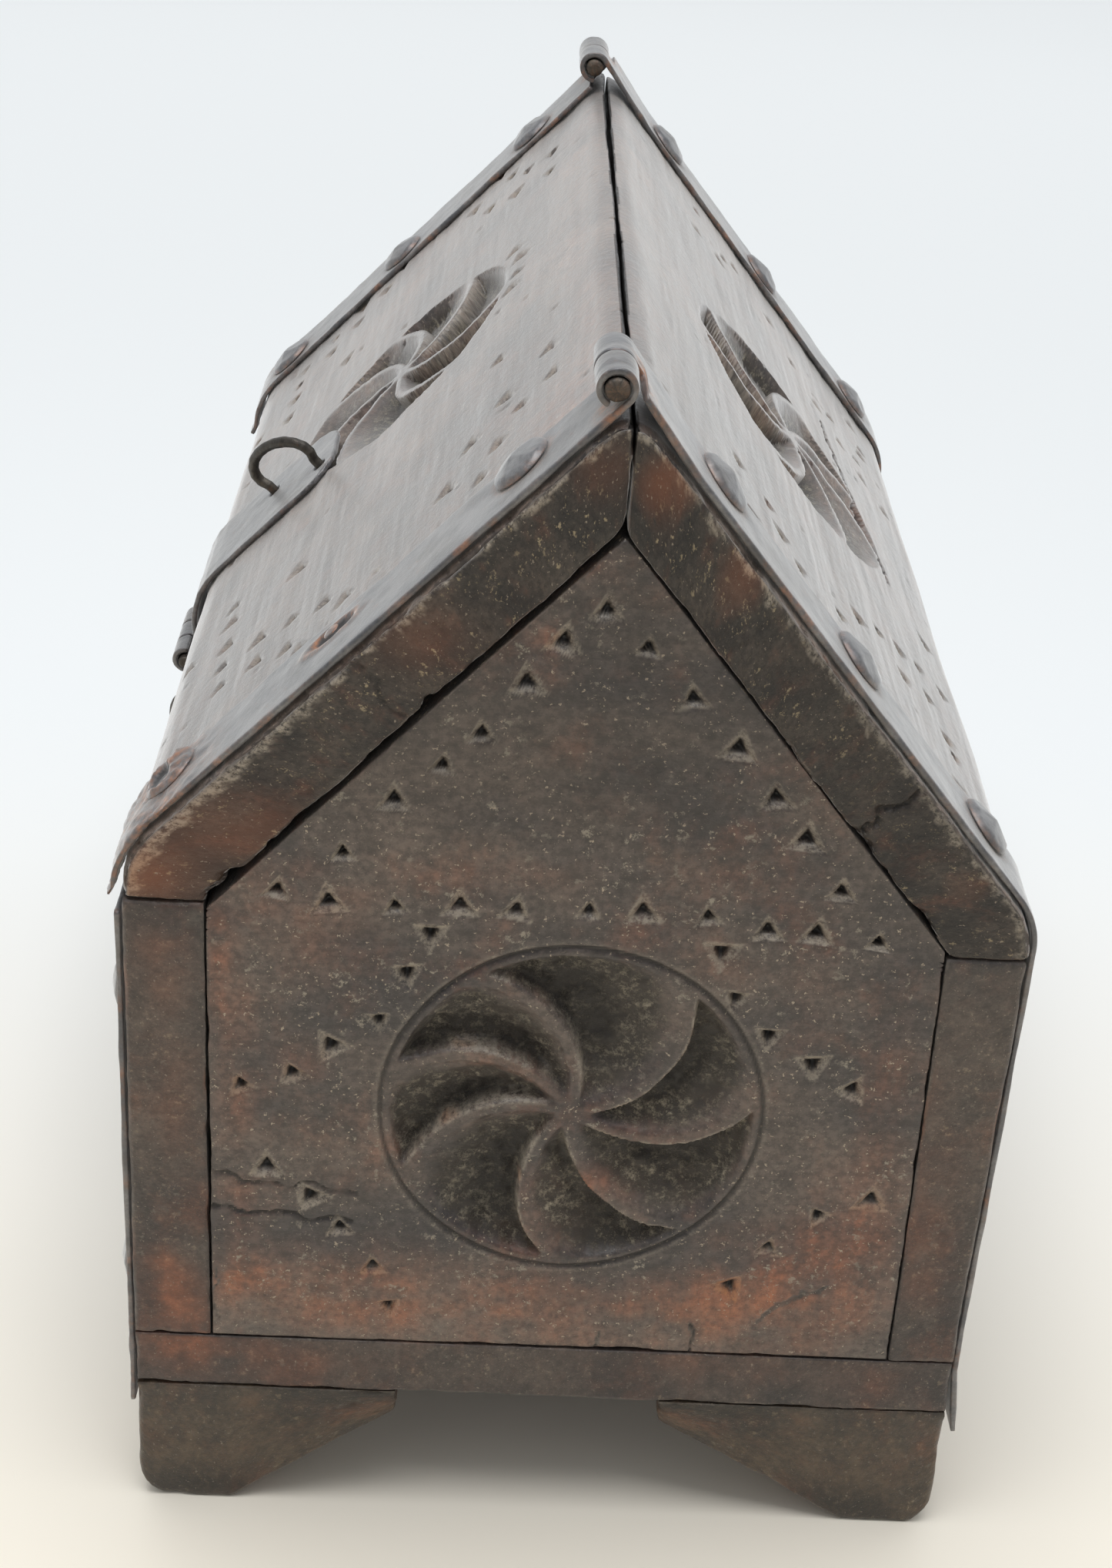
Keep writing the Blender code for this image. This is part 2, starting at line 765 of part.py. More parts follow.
def make_lid_loop():
    """The wire loop stands across the hasp plate, its legs through plate and lid."""
    upper = front.place(loop_upper_side - hasp_slide, hasp_top_drop + loop_upper_margin)
    lower = front.place(-loop_lower_side - hasp_slide, hasp_top_drop + loop_lower_margin)
    along = (upper - lower).normalized()
    out = Vector((0, front.out.x, front.out.y))
    side = out.cross(along)
    turn = Matrix((along, side, out)).transposed().to_4x4()
    frame = Matrix.Translation((upper + lower) / 2) @ turn
    half_span = (upper - lower).length / 2
    bow = loop_points(frame, half_span, loop_depth, loop_height)
    wire("lid_loop", bow, loop_wire_radius, lid_axis_empty)
    holes = [frame @ Matrix.Translation((half_span * sign, 0, 0)) for sign in (-1, 1)]
    return drill("cut_lid_loop", holes, loop_wire_radius, loop_depth + seam, wire_sides)


def make_wall_staple():
    """The staple on the front wall that the tongue drops over. Its legs lie one above the other."""
    z = front_wall_top - hasp_pin_drop - staple_drop
    frame = Matrix.Translation((-hasp_slide, -half_width, z))
    out = Vector((0, -1, 0))
    up = Vector((0, 0, 1))
    frame = frame @ Matrix((up, out.cross(up), out)).transposed().to_4x4()
    half = staple_span / 2
    straight = staple_reach - half
    points = [frame @ Vector((half, 0, -staple_depth))]
    for spot in arc(Vector((0, straight)), half, 0.0, 180.0, round_sides):
        points.append(frame @ Vector((spot.x, 0, spot.y)))
    points.append(frame @ Vector((-half, 0, -staple_depth)))
    wire("wall_staple", points, staple_wire_radius)
    holes = [frame @ Matrix.Translation((half * sign, 0, 0)) for sign in (-1, 1)]
    cut(front_wall, drill("cut_wall_staple", holes, staple_wire_radius, staple_depth + seam, wire_sides))


def make_hasp_plate(loop_holes):
    """A plate on the lid, round at its top, whose two knuckles hold the pin past the eave."""
    half = hasp_width / 2
    neck = hasp_neck_width / 2
    knuckle = hasp_knuckle_width / 2 + knuckle_gap

    def edges(reach):
        return tuple(x - hasp_slide for x in (-reach, -knuckle, knuckle, reach))

    rows = []
    for step in range(bend_steps, -1, -1):
        angle = math.radians(90.0 * step / bend_steps)
        drop = hasp_top_drop + hasp_top_round * (1 - math.sin(angle))
        reach = half - hasp_top_round * (1 - math.cos(angle))
        rows.append((front.at(drop, strap_offset), edges(reach), (0, 1, 2)))
    corner = meet(front.at(0, strap_offset), front.down, Vector((hasp_leaf_y, 0)), down_z)
    bend = fillet(front.at(0, strap_offset), corner, corner + down_z, hasp_bend_radius, bend_steps)
    rows += [(point, edges(half), (0, 1, 2)) for point in bend]
    neck_z = hasp_axis.y + hasp_eye_radius + strap_thickness
    rows.append((Vector((hasp_leaf_y, neck_z)), edges(neck), (0, 1, 2)))
    for point in arc(hasp_axis, hasp_eye_radius, 0.0, -hasp_eye_turn, eye_steps):
        rows.append((point, edges(neck), (0, 2)))
    plate = strip("hasp_plate", rows, lid_axis_empty)
    cut(plate, loop_holes)


def make_hasp_tongue():
    """A slotted tongue, rounded at its foot, that hangs from the pin by its one knuckle."""
    half = tongue_width / 2
    knuckle = hasp_knuckle_width / 2
    foot_round = half - knuckle

    def edges(reach):
        return tuple(x - hasp_slide for x in (-reach, -knuckle, knuckle, reach))

    bottom = hasp_axis.y - tongue_length
    rows = []
    for step in range(1, bend_steps + 1):
        angle = math.radians(90.0 * step / bend_steps)
        reach = knuckle + foot_round * math.sin(angle)
        z = bottom + foot_round * (1 - math.cos(angle))
        rows.append((Vector((hasp_leaf_y, z)), edges(reach), (0, 1, 2)))
    rows.append((Vector((hasp_leaf_y, hasp_axis.y - tongue_shoulder)), edges(half), (0, 1, 2)))
    for point in arc(hasp_axis, hasp_eye_radius, 0.0, hasp_eye_turn, eye_steps):
        rows.append((point, edges(half), (1,)))
    tongue = strip("hasp_tongue", rows, hasp_axis_empty)
    slot_half = slot_width / 2
    slot_top = hasp_axis.y - slot_top_drop
    slot_bottom = slot_top - slot_length
    outline = arc(Vector((-hasp_slide, slot_top - slot_half)), slot_half, 0.0, 180.0, bend_steps)
    outline += arc(Vector((-hasp_slide, slot_bottom + slot_half)), slot_half, 180.0, 180.0, bend_steps)
    points = [(spot.x, hasp_leaf_y - overrun, spot.y) for spot in outline]
    cut(tongue, as_cutter(extrusion("cut_hasp_slot", points, (0, overrun * 2, 0), "cutter")))


loop_holes_cutter = make_lid_loop()
cut(lid_board, loop_holes_cutter)
make_wall_staple()
make_hasp_plate(loop_holes_cutter)
make_hasp_tongue()
pin_reach = hasp_neck_width / 2 + hasp_pin_radius
pin_from = pin_reach - hasp_slide
pin_to = -pin_reach - hasp_slide
pin("hasp_pin", pin_from, pin_to, hasp_axis, hasp_pin_radius, lid_axis_empty)

# The origin goes to the middle of the box's whole depth, hasp and nails included

front_reach = half_width + staple_reach + staple_wire_radius
back_reach = nails_at["right"]["wall"][0].translation.y + nail_seat + nail_head_height
centring = Matrix.Translation((0, (front_reach - back_reach) / 2, 0))
for item in bpy.data.objects:
    if item.parent is None:
        item.matrix_world = centring @ item.matrix_world
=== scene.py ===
"""The gable-roofed box in its looks: carved, worn dark wood and hand-forged iron straps."""
import math

import bpy
import numpy as np
from mathutils import Matrix, Vector


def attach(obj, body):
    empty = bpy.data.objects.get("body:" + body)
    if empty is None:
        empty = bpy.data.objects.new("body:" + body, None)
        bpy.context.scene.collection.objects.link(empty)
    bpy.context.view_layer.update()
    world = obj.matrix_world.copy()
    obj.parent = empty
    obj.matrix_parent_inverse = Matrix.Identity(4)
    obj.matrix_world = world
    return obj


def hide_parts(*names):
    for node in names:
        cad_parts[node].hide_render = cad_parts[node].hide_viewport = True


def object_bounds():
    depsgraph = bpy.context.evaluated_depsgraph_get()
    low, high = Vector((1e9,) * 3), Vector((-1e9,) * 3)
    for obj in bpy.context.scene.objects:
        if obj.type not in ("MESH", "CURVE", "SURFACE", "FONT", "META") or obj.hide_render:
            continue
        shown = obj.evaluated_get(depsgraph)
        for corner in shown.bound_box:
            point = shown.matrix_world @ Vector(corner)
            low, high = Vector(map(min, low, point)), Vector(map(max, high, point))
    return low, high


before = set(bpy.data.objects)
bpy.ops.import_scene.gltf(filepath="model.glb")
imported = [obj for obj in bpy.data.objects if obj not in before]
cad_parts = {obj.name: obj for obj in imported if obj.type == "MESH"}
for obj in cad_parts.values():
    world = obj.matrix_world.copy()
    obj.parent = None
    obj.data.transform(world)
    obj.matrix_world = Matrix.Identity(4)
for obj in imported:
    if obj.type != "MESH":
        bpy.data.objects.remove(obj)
cad_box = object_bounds()

MM = 0.001

# The same sizes as the part, in metres. The part is shifted so that its origin is in the middle.
SHIFT = 0.002949
HALF_LENGTH = 0.1335
HALF_WIDTH = 0.0825
BACK_FOOT_Y = 0.0805
FOOT_HEIGHT = 0.030
BASE_TOP = 0.0425
FRONT_WALL_TOP = 0.142
BACK_WALL_TOP = 0.137
WALL = 0.015
GABLE = 0.013
SEAM = 0.0003
LID_GAP = 0.0012
RIDGE = Vector((0.004, 0.239))
FRONT_EAVE = Vector((-0.0825, 0.1503))
BACK_EAVE = Vector((0.0825, 0.144))
CREST_ROUND = 0.0065
FRONT_EAVE_ROUND = 0.0175
BACK_EAVE_ROUND = 0.0155
LID_FOOT = Vector((-0.0674, 0.142))
LID_PEAK = Vector((0.004, 0.2179))
BACK_FOOT = Vector((0.06835, 0.137))
BACK_PEAK = Vector((0.004, 0.2165))
STRIP = 0.00125
STRAP_WIDTH = 0.020
STRAP_INSET = 0.001
STRAP_OFFSET = SEAM + STRIP / 2
PIN_RADIUS = 0.0021
EYE_RADIUS = PIN_RADIUS + STRAP_OFFSET
EYE_CLEARANCE = 0.004
RIDGE_SWELL = 0.00014
EYE_RISE = 0.017
STRAP_FOOT = 0.0235
NAIL_INSET = 0.014
NAIL_ACROSS = 0.0070

# Camera, from the photograph's vanishing points
CAMERA_PLACE = (0.52429, -0.0164 + SHIFT, 0.37456)
CAMERA_TILT = math.radians(27.707)
CAMERA_TURN = math.radians(1.6117)
CAMERA_ROLL = math.radians(3.3068)
CAMERA_LENS = 57.77


def put_in_scene(name, data):
    item = bpy.data.objects.new(name, data)
    bpy.context.scene.collection.objects.link(item)
    return item


def place_camera():
    ahead = Vector((-math.cos(CAMERA_TURN) * math.cos(CAMERA_TILT),
                    math.sin(CAMERA_TURN) * math.cos(CAMERA_TILT), -math.sin(CAMERA_TILT)))
    right = Vector((math.sin(CAMERA_TURN), math.cos(CAMERA_TURN), 0))
    down = ahead.cross(right)
    rolled_right = right * math.cos(CAMERA_ROLL) - down * math.sin(CAMERA_ROLL)
    rolled_down = right * math.sin(CAMERA_ROLL) + down * math.cos(CAMERA_ROLL)
    data = bpy.data.cameras.new("camera")
    data.lens = CAMERA_LENS
    data.sensor_width = 36.0
    data.clip_start = 0.02
    data.clip_end = 20.0
    camera = put_in_scene("camera", data)
    turn = Matrix((rolled_right, -rolled_down, -ahead)).transposed().to_4x4()
    camera.matrix_world = Matrix.Translation(CAMERA_PLACE) @ turn
    bpy.context.scene.camera = camera


place_camera()


# Noise that is the same in every run


def cell_value(cells, seed):
    """A fixed number from -1 to 1 for each whole-numbered cell."""
    mixed = cells[:, 0] * 73856093 ^ cells[:, 1] * 19349663 ^ cells[:, 2] * 83492791 ^ seed * 2654435
    mixed = (mixed ^ (mixed >> 13)) * 1274126177 & 0xFFFFFFFF
    mixed = (mixed ^ (mixed >> 16)) & 0xFFFFFF
    return mixed / float(0x7FFFFF) - 1.0


def bumps(points, size, seed):
    """Smooth noise from -1 to 1, with features about size across."""
    spots = points / np.asarray(size) + 512.0
    cell = np.floor(spots).astype(np.int64)
    share = spots - cell
    share = share * share * (3 - 2 * share)
    total = np.zeros(len(points))
    for corner in range(8):
        step = np.array((corner & 1, corner >> 1 & 1, corner >> 2))
        weight = np.prod(np.where(step, share, 1 - share), axis=1)
        total += weight * cell_value(cell + step, seed)
    return total


def rough(points, size, seed, layers=3):
    """Bumps of several sizes on each other."""
    total = np.zeros(len(points))
    for layer in range(layers):
        total += bumps(points, np.asarray(size) / 2.0**layer, seed + layer * 17) / 2.0**layer
    return total


def ramp(values, low, high):
    share = np.clip((values - low) / (high - low), 0, 1)
    return share * share * (3 - 2 * share)


# Board and strip stock: a straight piece is shaped first, and then set in its place


def ruled(start, *runs):
    """Places along an edge: from start, each run goes to an end in steps of a size."""
    marks = [start]
    for end, step in runs:
        count = max(1, round((end - marks[-1]) / step))
        marks += list(np.linspace(marks[-1], end, count + 1)[1:])
    return np.array(marks)


def face_grid(index, side):
    """The vertex numbers on one face of the stock, in an order that faces outwards."""
    axis, end = side
    grid = np.take(index, -1 if end else 0, axis=axis)
    if axis == 1:
        grid = grid.T
    return grid if end else grid[::-1]


def quads(grid):
    return np.stack((grid[:-1, :-1], grid[1:, :-1], grid[1:, 1:], grid[:-1, 1:]), axis=-1).reshape(-1, 4)


def rim(grid):
    """The vertex numbers round a face's edge."""
    return np.concatenate((grid[:, 0], grid[-1, 1:], grid[-2::-1, -1], grid[0, -2:0:-1]))


def set_piece(name, mesh, node, body, material):
    """Puts a finished mesh on its body, in the place of a CAD node."""
    piece = put_in_scene(name, mesh)
    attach(piece, body)
    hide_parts(node)
    mesh.materials.append(material)
    return piece


SIDES = {"a0": (0, 0), "a1": (0, 1), "b0": (1, 0), "b1": (1, 1), "c0": (2, 0), "c1": (2, 1)}

# A bent face keeps this many rows of small faces at each end
END_ROWS = 13


def strips(grid):
    """Long flat strips along a face, one for each step across it, with small faces at their ends."""
    last = len(grid) - 2
    near, far = END_ROWS, grid.shape[1] - 1 - END_ROWS
    made = quads(grid[:, :near + 1]).tolist() + quads(grid[:, far:]).tolist()
    for row in range(last + 1):
        low = grid[row][near:far + 1] if row == 0 else grid[row][[near, far]]
        high = grid[row + 1][near:far + 1] if row == last else grid[row + 1][[near, far]]
        made.append([int(low[0]), *high.tolist(), *low[:0:-1].tolist()])
    return made


def stock(name, node, material, a, b, c, radius, shape, carve, plain=(), bent=(), grain=1, body="box",
          slot="wood", set_grain=None):
    """A piece of stock with ruled lines a, b and c, worn edges and carved faces.

    radius is a number or a function of the points. carve gives each point's cut depth and its
    hollow, wear and stain, with some painted highlight in the wear and painted shade in the stain.
    shape sets the points in their real places. Faces named in plain are flat, and those in bent
    are long flat strips with small faces at their ends. grain is the direction of the fibres.
    """
    counts = (len(a), len(b), len(c))
    wanted = np.zeros(counts, bool)
    for axis in range(3):
        ends = [slice(None)] * 3
        for one in (0, -1):
            for other in (0, -1):
                ends[(axis + 1) % 3], ends[(axis + 2) % 3] = one, other
                ends[axis] = slice(None)
                wanted[tuple(ends)] = True
    for side, (axis, end) in SIDES.items():
        if side not in plain and side not in bent:
            face = [slice(None)] * 3
            face[axis] = -1 if end else 0
            wanted[tuple(face)] = True
    if "c0" in bent:
        wanted[:, :END_ROWS + 1, 0] = wanted[:, -END_ROWS - 1:, 0] = True
    index = np.full(counts, -1)
    index[wanted] = np.arange(wanted.sum())
    place = np.argwhere(wanted)
    points = np.stack((a[place[:, 0]], b[place[:, 1]], c[place[:, 2]]), axis=1)
    size = np.array((a[-1], b[-1], c[-1]))
    reach = radius(points) if callable(radius) else np.full(len(points), radius)
    reach = np.clip(reach, 0.00005, size.min() * 0.49)[:, None]
    core = np.clip(points, reach, size - reach)
    away = points - core
    out = away / np.linalg.norm(away, axis=1, keepdims=True)
    worn = core + out * reach
    wear = np.clip((1 - np.abs(out).max(axis=1)) / 0.293, 0, 1)
    wear = wear * (1.0 if slot == "iron" else 0.35 * ramp(rough(points, 0.009, 7), -0.2, 0.9))
    depth, hollow, more_wear, stain_and_shade = carve(points, out)
    wear = np.clip(wear + more_wear, 0, 1)
    real = shape(worn - out * depth[:, None])
    faces = []
    kinds = []
    for side, spec in SIDES.items():
        grid = face_grid(index, spec)
        made = [rim(grid).tolist()] if side in plain else strips(grid) if side in bent else quads(grid).tolist()
        faces += made
        kinds += [0 if side not in plain and side not in bent else 2 if spec[0] == grain else 1] * len(made)
    corners = np.array([face[:3] for face in faces[::7]])
    first, second, third = real[corners[:, 0]], real[corners[:, 1]], real[corners[:, 2]]
    inward = np.einsum("ij,ij->i", np.cross(second - first, third - first), first - real.mean(axis=0)).sum() < 0
    if inward:
        faces = [face[::-1] for face in faces]
    placed = np.clip(real + np.array((0, SHIFT, 0)), np.array(cad_box[0]), np.array(cad_box[1]))
    mesh = bpy.data.meshes.new(name)
    mesh.from_pydata(placed.tolist(), [], faces)
    mesh.update()
    mesh.shade_smooth()
    mesh.polygons.foreach_set("use_smooth", [kind == 0 for kind in kinds])
    corner = np.concatenate(faces)
    state = np.repeat(kinds, [len(face) for face in faces])
    for kind, values in (("hollow", hollow), ("wear", wear), ("stain_and_shade", np.clip(stain_and_shade, 0, 1)),
                         ("rubbed", np.clip(-stain_and_shade, 0, 1)), ("end_grain", np.abs(out[:, grain]))):
        values = np.where(state == 0, values[corner], (state == 2) * (kind == "end_grain"))
        mesh.attributes.new(kind, "FLOAT", "CORNER").data.foreach_set("value", values.astype(np.float32))
    order = {1: (1, 0, 2), 0: (0, 1, 2), 2: (2, 0, 1)}[grain]
    along = (points[:, order] if set_grain is None else set_grain(real)).astype(np.float32).ravel()
    mesh.attributes.new("stock", "FLOAT_VECTOR", "POINT").data.foreach_set("vector", along)
    return set_piece(name, mesh, node, body, material)


# Bent outlines, in the (y, z) plane


def arc(centre, radius, start, turn, steps):
    angles = np.radians(start + turn * np.arange(steps + 1) / steps)
    return [centre + radius * Vector((math.cos(angle), math.sin(angle))) for angle in angles]


def fillet(before, corner, after, radius, steps=24):
    to_before = (before - corner).normalized()
    to_after = (after - corner).normalized()
    half_angle = to_before.angle(to_after) / 2
    bisector = (to_before + to_after).normalized()
    centre = corner + bisector * (radius / math.sin(half_angle))
    first = corner + to_before * (radius / math.tan(half_angle)) - centre
    last = corner + to_after * (radius / math.tan(half_angle)) - centre
    start = math.degrees(math.atan2(first.y, first.x))
    turn = math.degrees(math.atan2(last.y, last.x)) - start
    return arc(centre, radius, start, (turn + 180.0) % 360.0 - 180.0, steps)


def meet(point_a, direction_a, point_b, direction_b):
    across = Vector((-direction_b.y, direction_b.x))
    return point_a + direction_a * ((point_b - point_a).dot(across) / direction_a.dot(across))


class Path:
    """A line through points, read by the distance along it."""

    def __init__(self, points):
        spots = np.array([tuple(point) for point in points])
        step = np.linalg.norm(np.diff(spots, axis=0), axis=1)
        keep = np.concatenate(([True], step > 1e-7))
        self.points = spots[keep]
        self.marks = np.concatenate(([0], np.cumsum(step[step > 1e-7])))
        self.length = self.marks[-1]
        turn = np.gradient(self.points, self.marks, axis=0)
        self.ahead = turn / np.linalg.norm(turn, axis=1, keepdims=True)

    def at(self, distance):
        return np.stack([np.interp(distance, self.marks, column) for column in self.points.T], axis=1)

    def side(self, distance):
        """The direction square to the line, to its left."""
        ahead = np.stack([np.interp(distance, self.marks, column) for column in self.ahead.T], axis=1)
        return np.stack((-ahead[:, 1], ahead[:, 0]), axis=1)


def slope_axes(eave, outward):
    down = (eave - RIDGE).normalized()
    return np.array(down), np.array((-down.y, down.x)) * outward


FRONT_DOWN, FRONT_OUT = slope_axes(FRONT_EAVE, -1.0)
BACK_DOWN, BACK_OUT = slope_axes(BACK_EAVE, 1.0)
RIDGE_SPOT = np.array(RIDGE)
PIN_AXIS = Vector(RIDGE_SPOT + FRONT_DOWN * 0.0003 + FRONT_OUT * (STRAP_OFFSET + EYE_RADIUS))


def roof_outline():
    """The roof's outside from the lid's foot over the crest to the back board's foot."""
    front_foot = Vector((-HALF_WIDTH, FRONT_WALL_TOP))
    back_foot = Vector((HALF_WIDTH, BACK_WALL_TOP))
    points = [front_foot]
    points += fillet(front_foot, FRONT_EAVE, RIDGE, FRONT_EAVE_ROUND)
    points += fillet(FRONT_EAVE, RIDGE, BACK_EAVE, CREST_ROUND)
    points += fillet(RIDGE, BACK_EAVE, back_foot, BACK_EAVE_ROUND)
    return points + [back_foot]


def half_outline(side):
    """The outside of one roof board, from the ridge seam down."""
    path = Path(roof_outline())
    spots = path.at(np.linspace(0, path.length, 3000))
    edge = RIDGE.x + side * SEAM
    kept = spots[spots[:, 0] < edge][::-1] if side < 0 else spots[spots[:, 0] > edge]
    return Path(kept)


# Carving


def rosette(u, v, radius, arms, twist):
    """The cut of a whorl at places (u, v) from its middle, from 0 to 1, and masks along its arms' walls and
    edges, where the carving paints partly wear and partly painted highlight.
    """
    reach = np.hypot(u, v) / radius
    wobble = rough(np.stack((u, v, u * 0), axis=1), 0.014, 5, 2)
    angle = np.degrees(np.arctan2(v, u)) + twist * (1 - np.clip(reach, 0, 1) ** 1.5) + wobble * 2.5
    arms = np.sort(np.mod(arms, 360))
    angle = np.mod(angle, 360)
    after = np.searchsorted(arms, angle) % len(arms)
    gap = np.mod(arms[after] - arms[after - 1], 360)
    gap = np.where(gap == 0, 360, gap)
    share = np.mod(arms[after] - angle, 360) / gap
    width = gap / 360 * math.tau * np.clip(reach, 0.05, 1) * radius
    band = 0.0008 + 0.0006 * np.clip(reach, 0, 1)
    across = share * width
    back = (1 - share) * width
    wall = ramp(across, band, band + 0.0010)
    rise = np.clip((back - band) / np.maximum(0.62 * width - band, 0.0008), 0, 1) ** 0.85
    ring = np.interp(reach, (0, 0.06, 0.14, 0.27, 0.47, 0.67, 0.83, 0.93, 0.985, 1.0),
                     (0, 0.03, 0.36, 0.74, 1.0, 1.0, 0.95, 0.78, 0.28, 0.0))
    under = np.exp(-((across - band - 0.0009) / 0.0009) ** 2) * ramp(ring, 0.2, 0.7)
    edge = np.exp(-((across - band - 0.0001) / 0.00042) ** 2) * ramp(ring, 0.15, 0.6) * ramp(rise, 0.1, 0.4)
    return ring * wall * rise, under, edge


def chips(u, v, places, size, depth):
    """Rows of three-cornered chip cuts, each (u, v, turn): the cut, its dark point, which is painted shade, and
    its pale sides, one side painted paler still as a painted highlight.
    """
    cut = np.zeros(len(u))
    pale = np.zeros(len(u))
    inner = size * 0.33
    for number, (at_u, at_v, turn) in enumerate(places):
        near = np.flatnonzero((np.abs(u - at_u) < size) & (np.abs(v - at_v) < size))
        if len(near) == 0:
            continue
        wide = inner * (1 + 0.20 * math.sin(number * 2.4))
        lean = math.radians(turn + 9 * math.sin(number * 5.1))
        x = (u[near] - at_u) * math.cos(lean) + (v[near] - at_v) * math.sin(lean)
        y = (v[near] - at_v) * math.cos(lean) - (u[near] - at_u) * math.sin(lean)
        sides = [wide - x * math.cos(way) - y * math.sin(way) for way in map(math.radians, (-90, 30, 150))]
        pit = np.clip(np.minimum(np.minimum(sides[0], sides[1]), sides[2]) / wide, 0, 1)
        cut[near] = np.maximum(cut[near], pit)
        # Painted highlight: one side of each chip is made paler
        low_side = 0.75 + 0.25 * (sides[0] < np.minimum(sides[1], sides[2]))
        pale[near] = np.maximum(pale[near], ramp(pit, 0.0, 0.12) * (1 - ramp(pit, 0.50, 0.72)) * low_side)
    return (cut * 0.8 + ramp(cut, 0.5, 0.9) * 0.5) * depth, ramp(cut, 0.52, 0.80), pale


def warmed(u, v, spots):
    """How much the dark skin is rubbed through to orange wood, from rows of (u, v, half sizes, strength)."""
    total = np.zeros(len(u))
    for at_u, at_v, half_u, half_v, strength in spots:
        total += strength * np.exp(-((u * 1000 - at_u) / half_u) ** 2 - ((v * 1000 - at_v) / half_v) ** 2)
    return total


def split(u, v, line, width, jag, seed):
    """How open a crack along a line of (u, v) is, from 0 to 1."""
    spots = np.stack((u, v, u * 0), axis=1)
    off = rough(spots, 0.004, seed, 3) * jag
    best = np.full(len(u), 1.0)
    for (u0, v0), (u1, v1) in zip(line, line[1:]):
        length = math.hypot(u1 - u0, v1 - v0)
        du, dv = (u1 - u0) / length, (v1 - v0) / length
        along = (u - u0) * du + (v - v0) * dv
        across = np.abs((v - v0) * du - (u - u0) * dv + off)
        past = np.maximum(0, np.maximum(-along, along - length))
        best = np.minimum(best, np.hypot(across, past))
    return np.clip(1 - best / (width * (1 + 0.5 * bumps(spots, 0.006, seed + 3))), 0, 1)


def darkened(stain_and_shade, mark, strength=1.0):
    """The stain with a dark mark over it, where the mark shows."""
    return np.where(mark > 0.05, np.maximum(stain_and_shade, mark * strength), stain_and_shade)


def mm(values):
    return [tuple(value * MM for value in row) for row in values]


def turned(rows, turn):
    return [(u * MM, v * MM, turn) for u, v in rows]


# Where the gable's chip cuts are, in millimetres from the middle line and the floor
GABLE_CHIPS = turned(
    ((1.6, 202.7), (-5.4, 196.5), (9.1, 196.0), (-11.4, 188.5), (17.5, 186.8), (-18.8, 178.3),
     (26.2, 177.5), (-25.4, 171.7), (-33.8, 164.4), (33.6, 168.1), (-42.7, 153.2), (39.8, 160.1),
     (-54.4, 145.0), (47.1, 149.6), (-45.2, 143.0), (-33.1, 142.6), (-21.4, 143.4), (-11.2, 142.9),
     (1.9, 143.4), (11.7, 143.7), (23.6, 143.2), (34.6, 140.9), (43.6, 140.7), (54.9, 139.3),
     (-56.4, 83.8), (-42.3, 70.1), (-35.8, 60.9), (59.8, 81.7), (41.0, 69.4)), 0)
GABLE_CHIPS += turned(
    ((-26.6, 137.2), (-30.7, 128.6), (-35.6, 118.3), (26.5, 135.9), (29.9, 126.2), (36.7, 118.3),
     (45.5, 112.3), (-32.5, 51.4)), 180)
GABLE_CHIPS += turned(((-44.4, 112.2), (-51.6, 105.7), (-61.2, 102.5), (-48.1, 77.4), (49.9, 77.6)), 30)
GABLE_CHIPS += turned(((53.5, 107.0), (34.2, 59.4)), -30)

# The roof's chip cuts: millimetres along the ridge and down the slope
LID_CHIPS = turned(
    ((93.6, 76.5), (100.8, 70.5), (86.9, 86.0), (82.1, 95.3), (93.2, 94.9), (99.9, 85.9),
     (107.1, 81.6), (47.1, 108.2), (55.5, 107.6), (68.3, 106.8), (78.6, 106.6), (60.0, 87.5),
     (89.0, 105.7), (61.0, 119.3), (68.9, 30.3), (80.6, 26.4), (77.5, 39.1), (90.7, 32.0),
     (100.6, 36.1), (91.0, 45.0), (41.2, 32.9), (-29.6, 29.7), (-21.0, 27.9), (-10.8, 28.9),
     (-2.7, 30.3), (61.0, 19.2), (77.3, 18.4)), 90)
BACK_CHIPS = turned(
    ((81.9, 35.4), (104.0, 37.0), (84.2, 45.0), (92.9, 48.1), (99.2, 53.2), (93.7, 67.9),
     (80.0, 76.3), (69.8, 85.5), (63.0, 94.8), (78.1, 93.4), (56.7, 103.2), (29.0, 112.5),
     (69.9, 103.7), (53.4, 112.8), (82.4, 107.9), (88.1, 109.0), (103.5, 107.1)), -90)
# The far half, which the photograph hardly shows, repeats the near half's rows
LID_CHIPS += [(-u - 0.012, v, -turn) for u, v, turn in LID_CHIPS if u > 0.05]
BACK_CHIPS += [(-u + 0.004, v, -turn) for u, v, turn in BACK_CHIPS if u > 0.05]

GABLE_ARMS = (8, 52, 121, 166, 206, 266, 310)
LID_ARMS = tuple(angle + 20 for angle in GABLE_ARMS)
BACK_ARMS = tuple(angle + 70 for angle in GABLE_ARMS)
TWIST = 38
ROSETTE_DEPTH = 0.0046
GABLE_MIDDLE = (0.001, 0.0995)
GABLE_DISC = 0.0345
# A fine groove runs round the gable's rosette, with a raised lip outside it
GROOVE_REACH = 0.0362
LIP_REACH = 0.0371


def tool_marks(points, seed, along):
    """The uneven skin that plane, hands and years leave."""
    size = np.array((0.011, 0.011, 0.011))
    size[along] = 0.05
    fibre = np.array((0.0016, 0.0016, 0.0016))
    fibre[along] = 0.02
    return rough(points, size, seed) * 0.00016 + rough(points, fibre, seed + 9, 2) * 0.00005


def nicks(points, seed, size, share, depth):
    """Small scattered dents."""
    field = bumps(points, size, seed)
    return ramp(field, 1 - share, 1) * depth


# Materials


def link(tree, source, target):
    tree.links.new(source, target)


def feed(tree, socket, value):
    """Joins an input to another node's output, or sets it to a value."""
    if isinstance(value, bpy.types.NodeSocket):
        tree.links.new(value, socket)
    else:
        socket.default_value = value


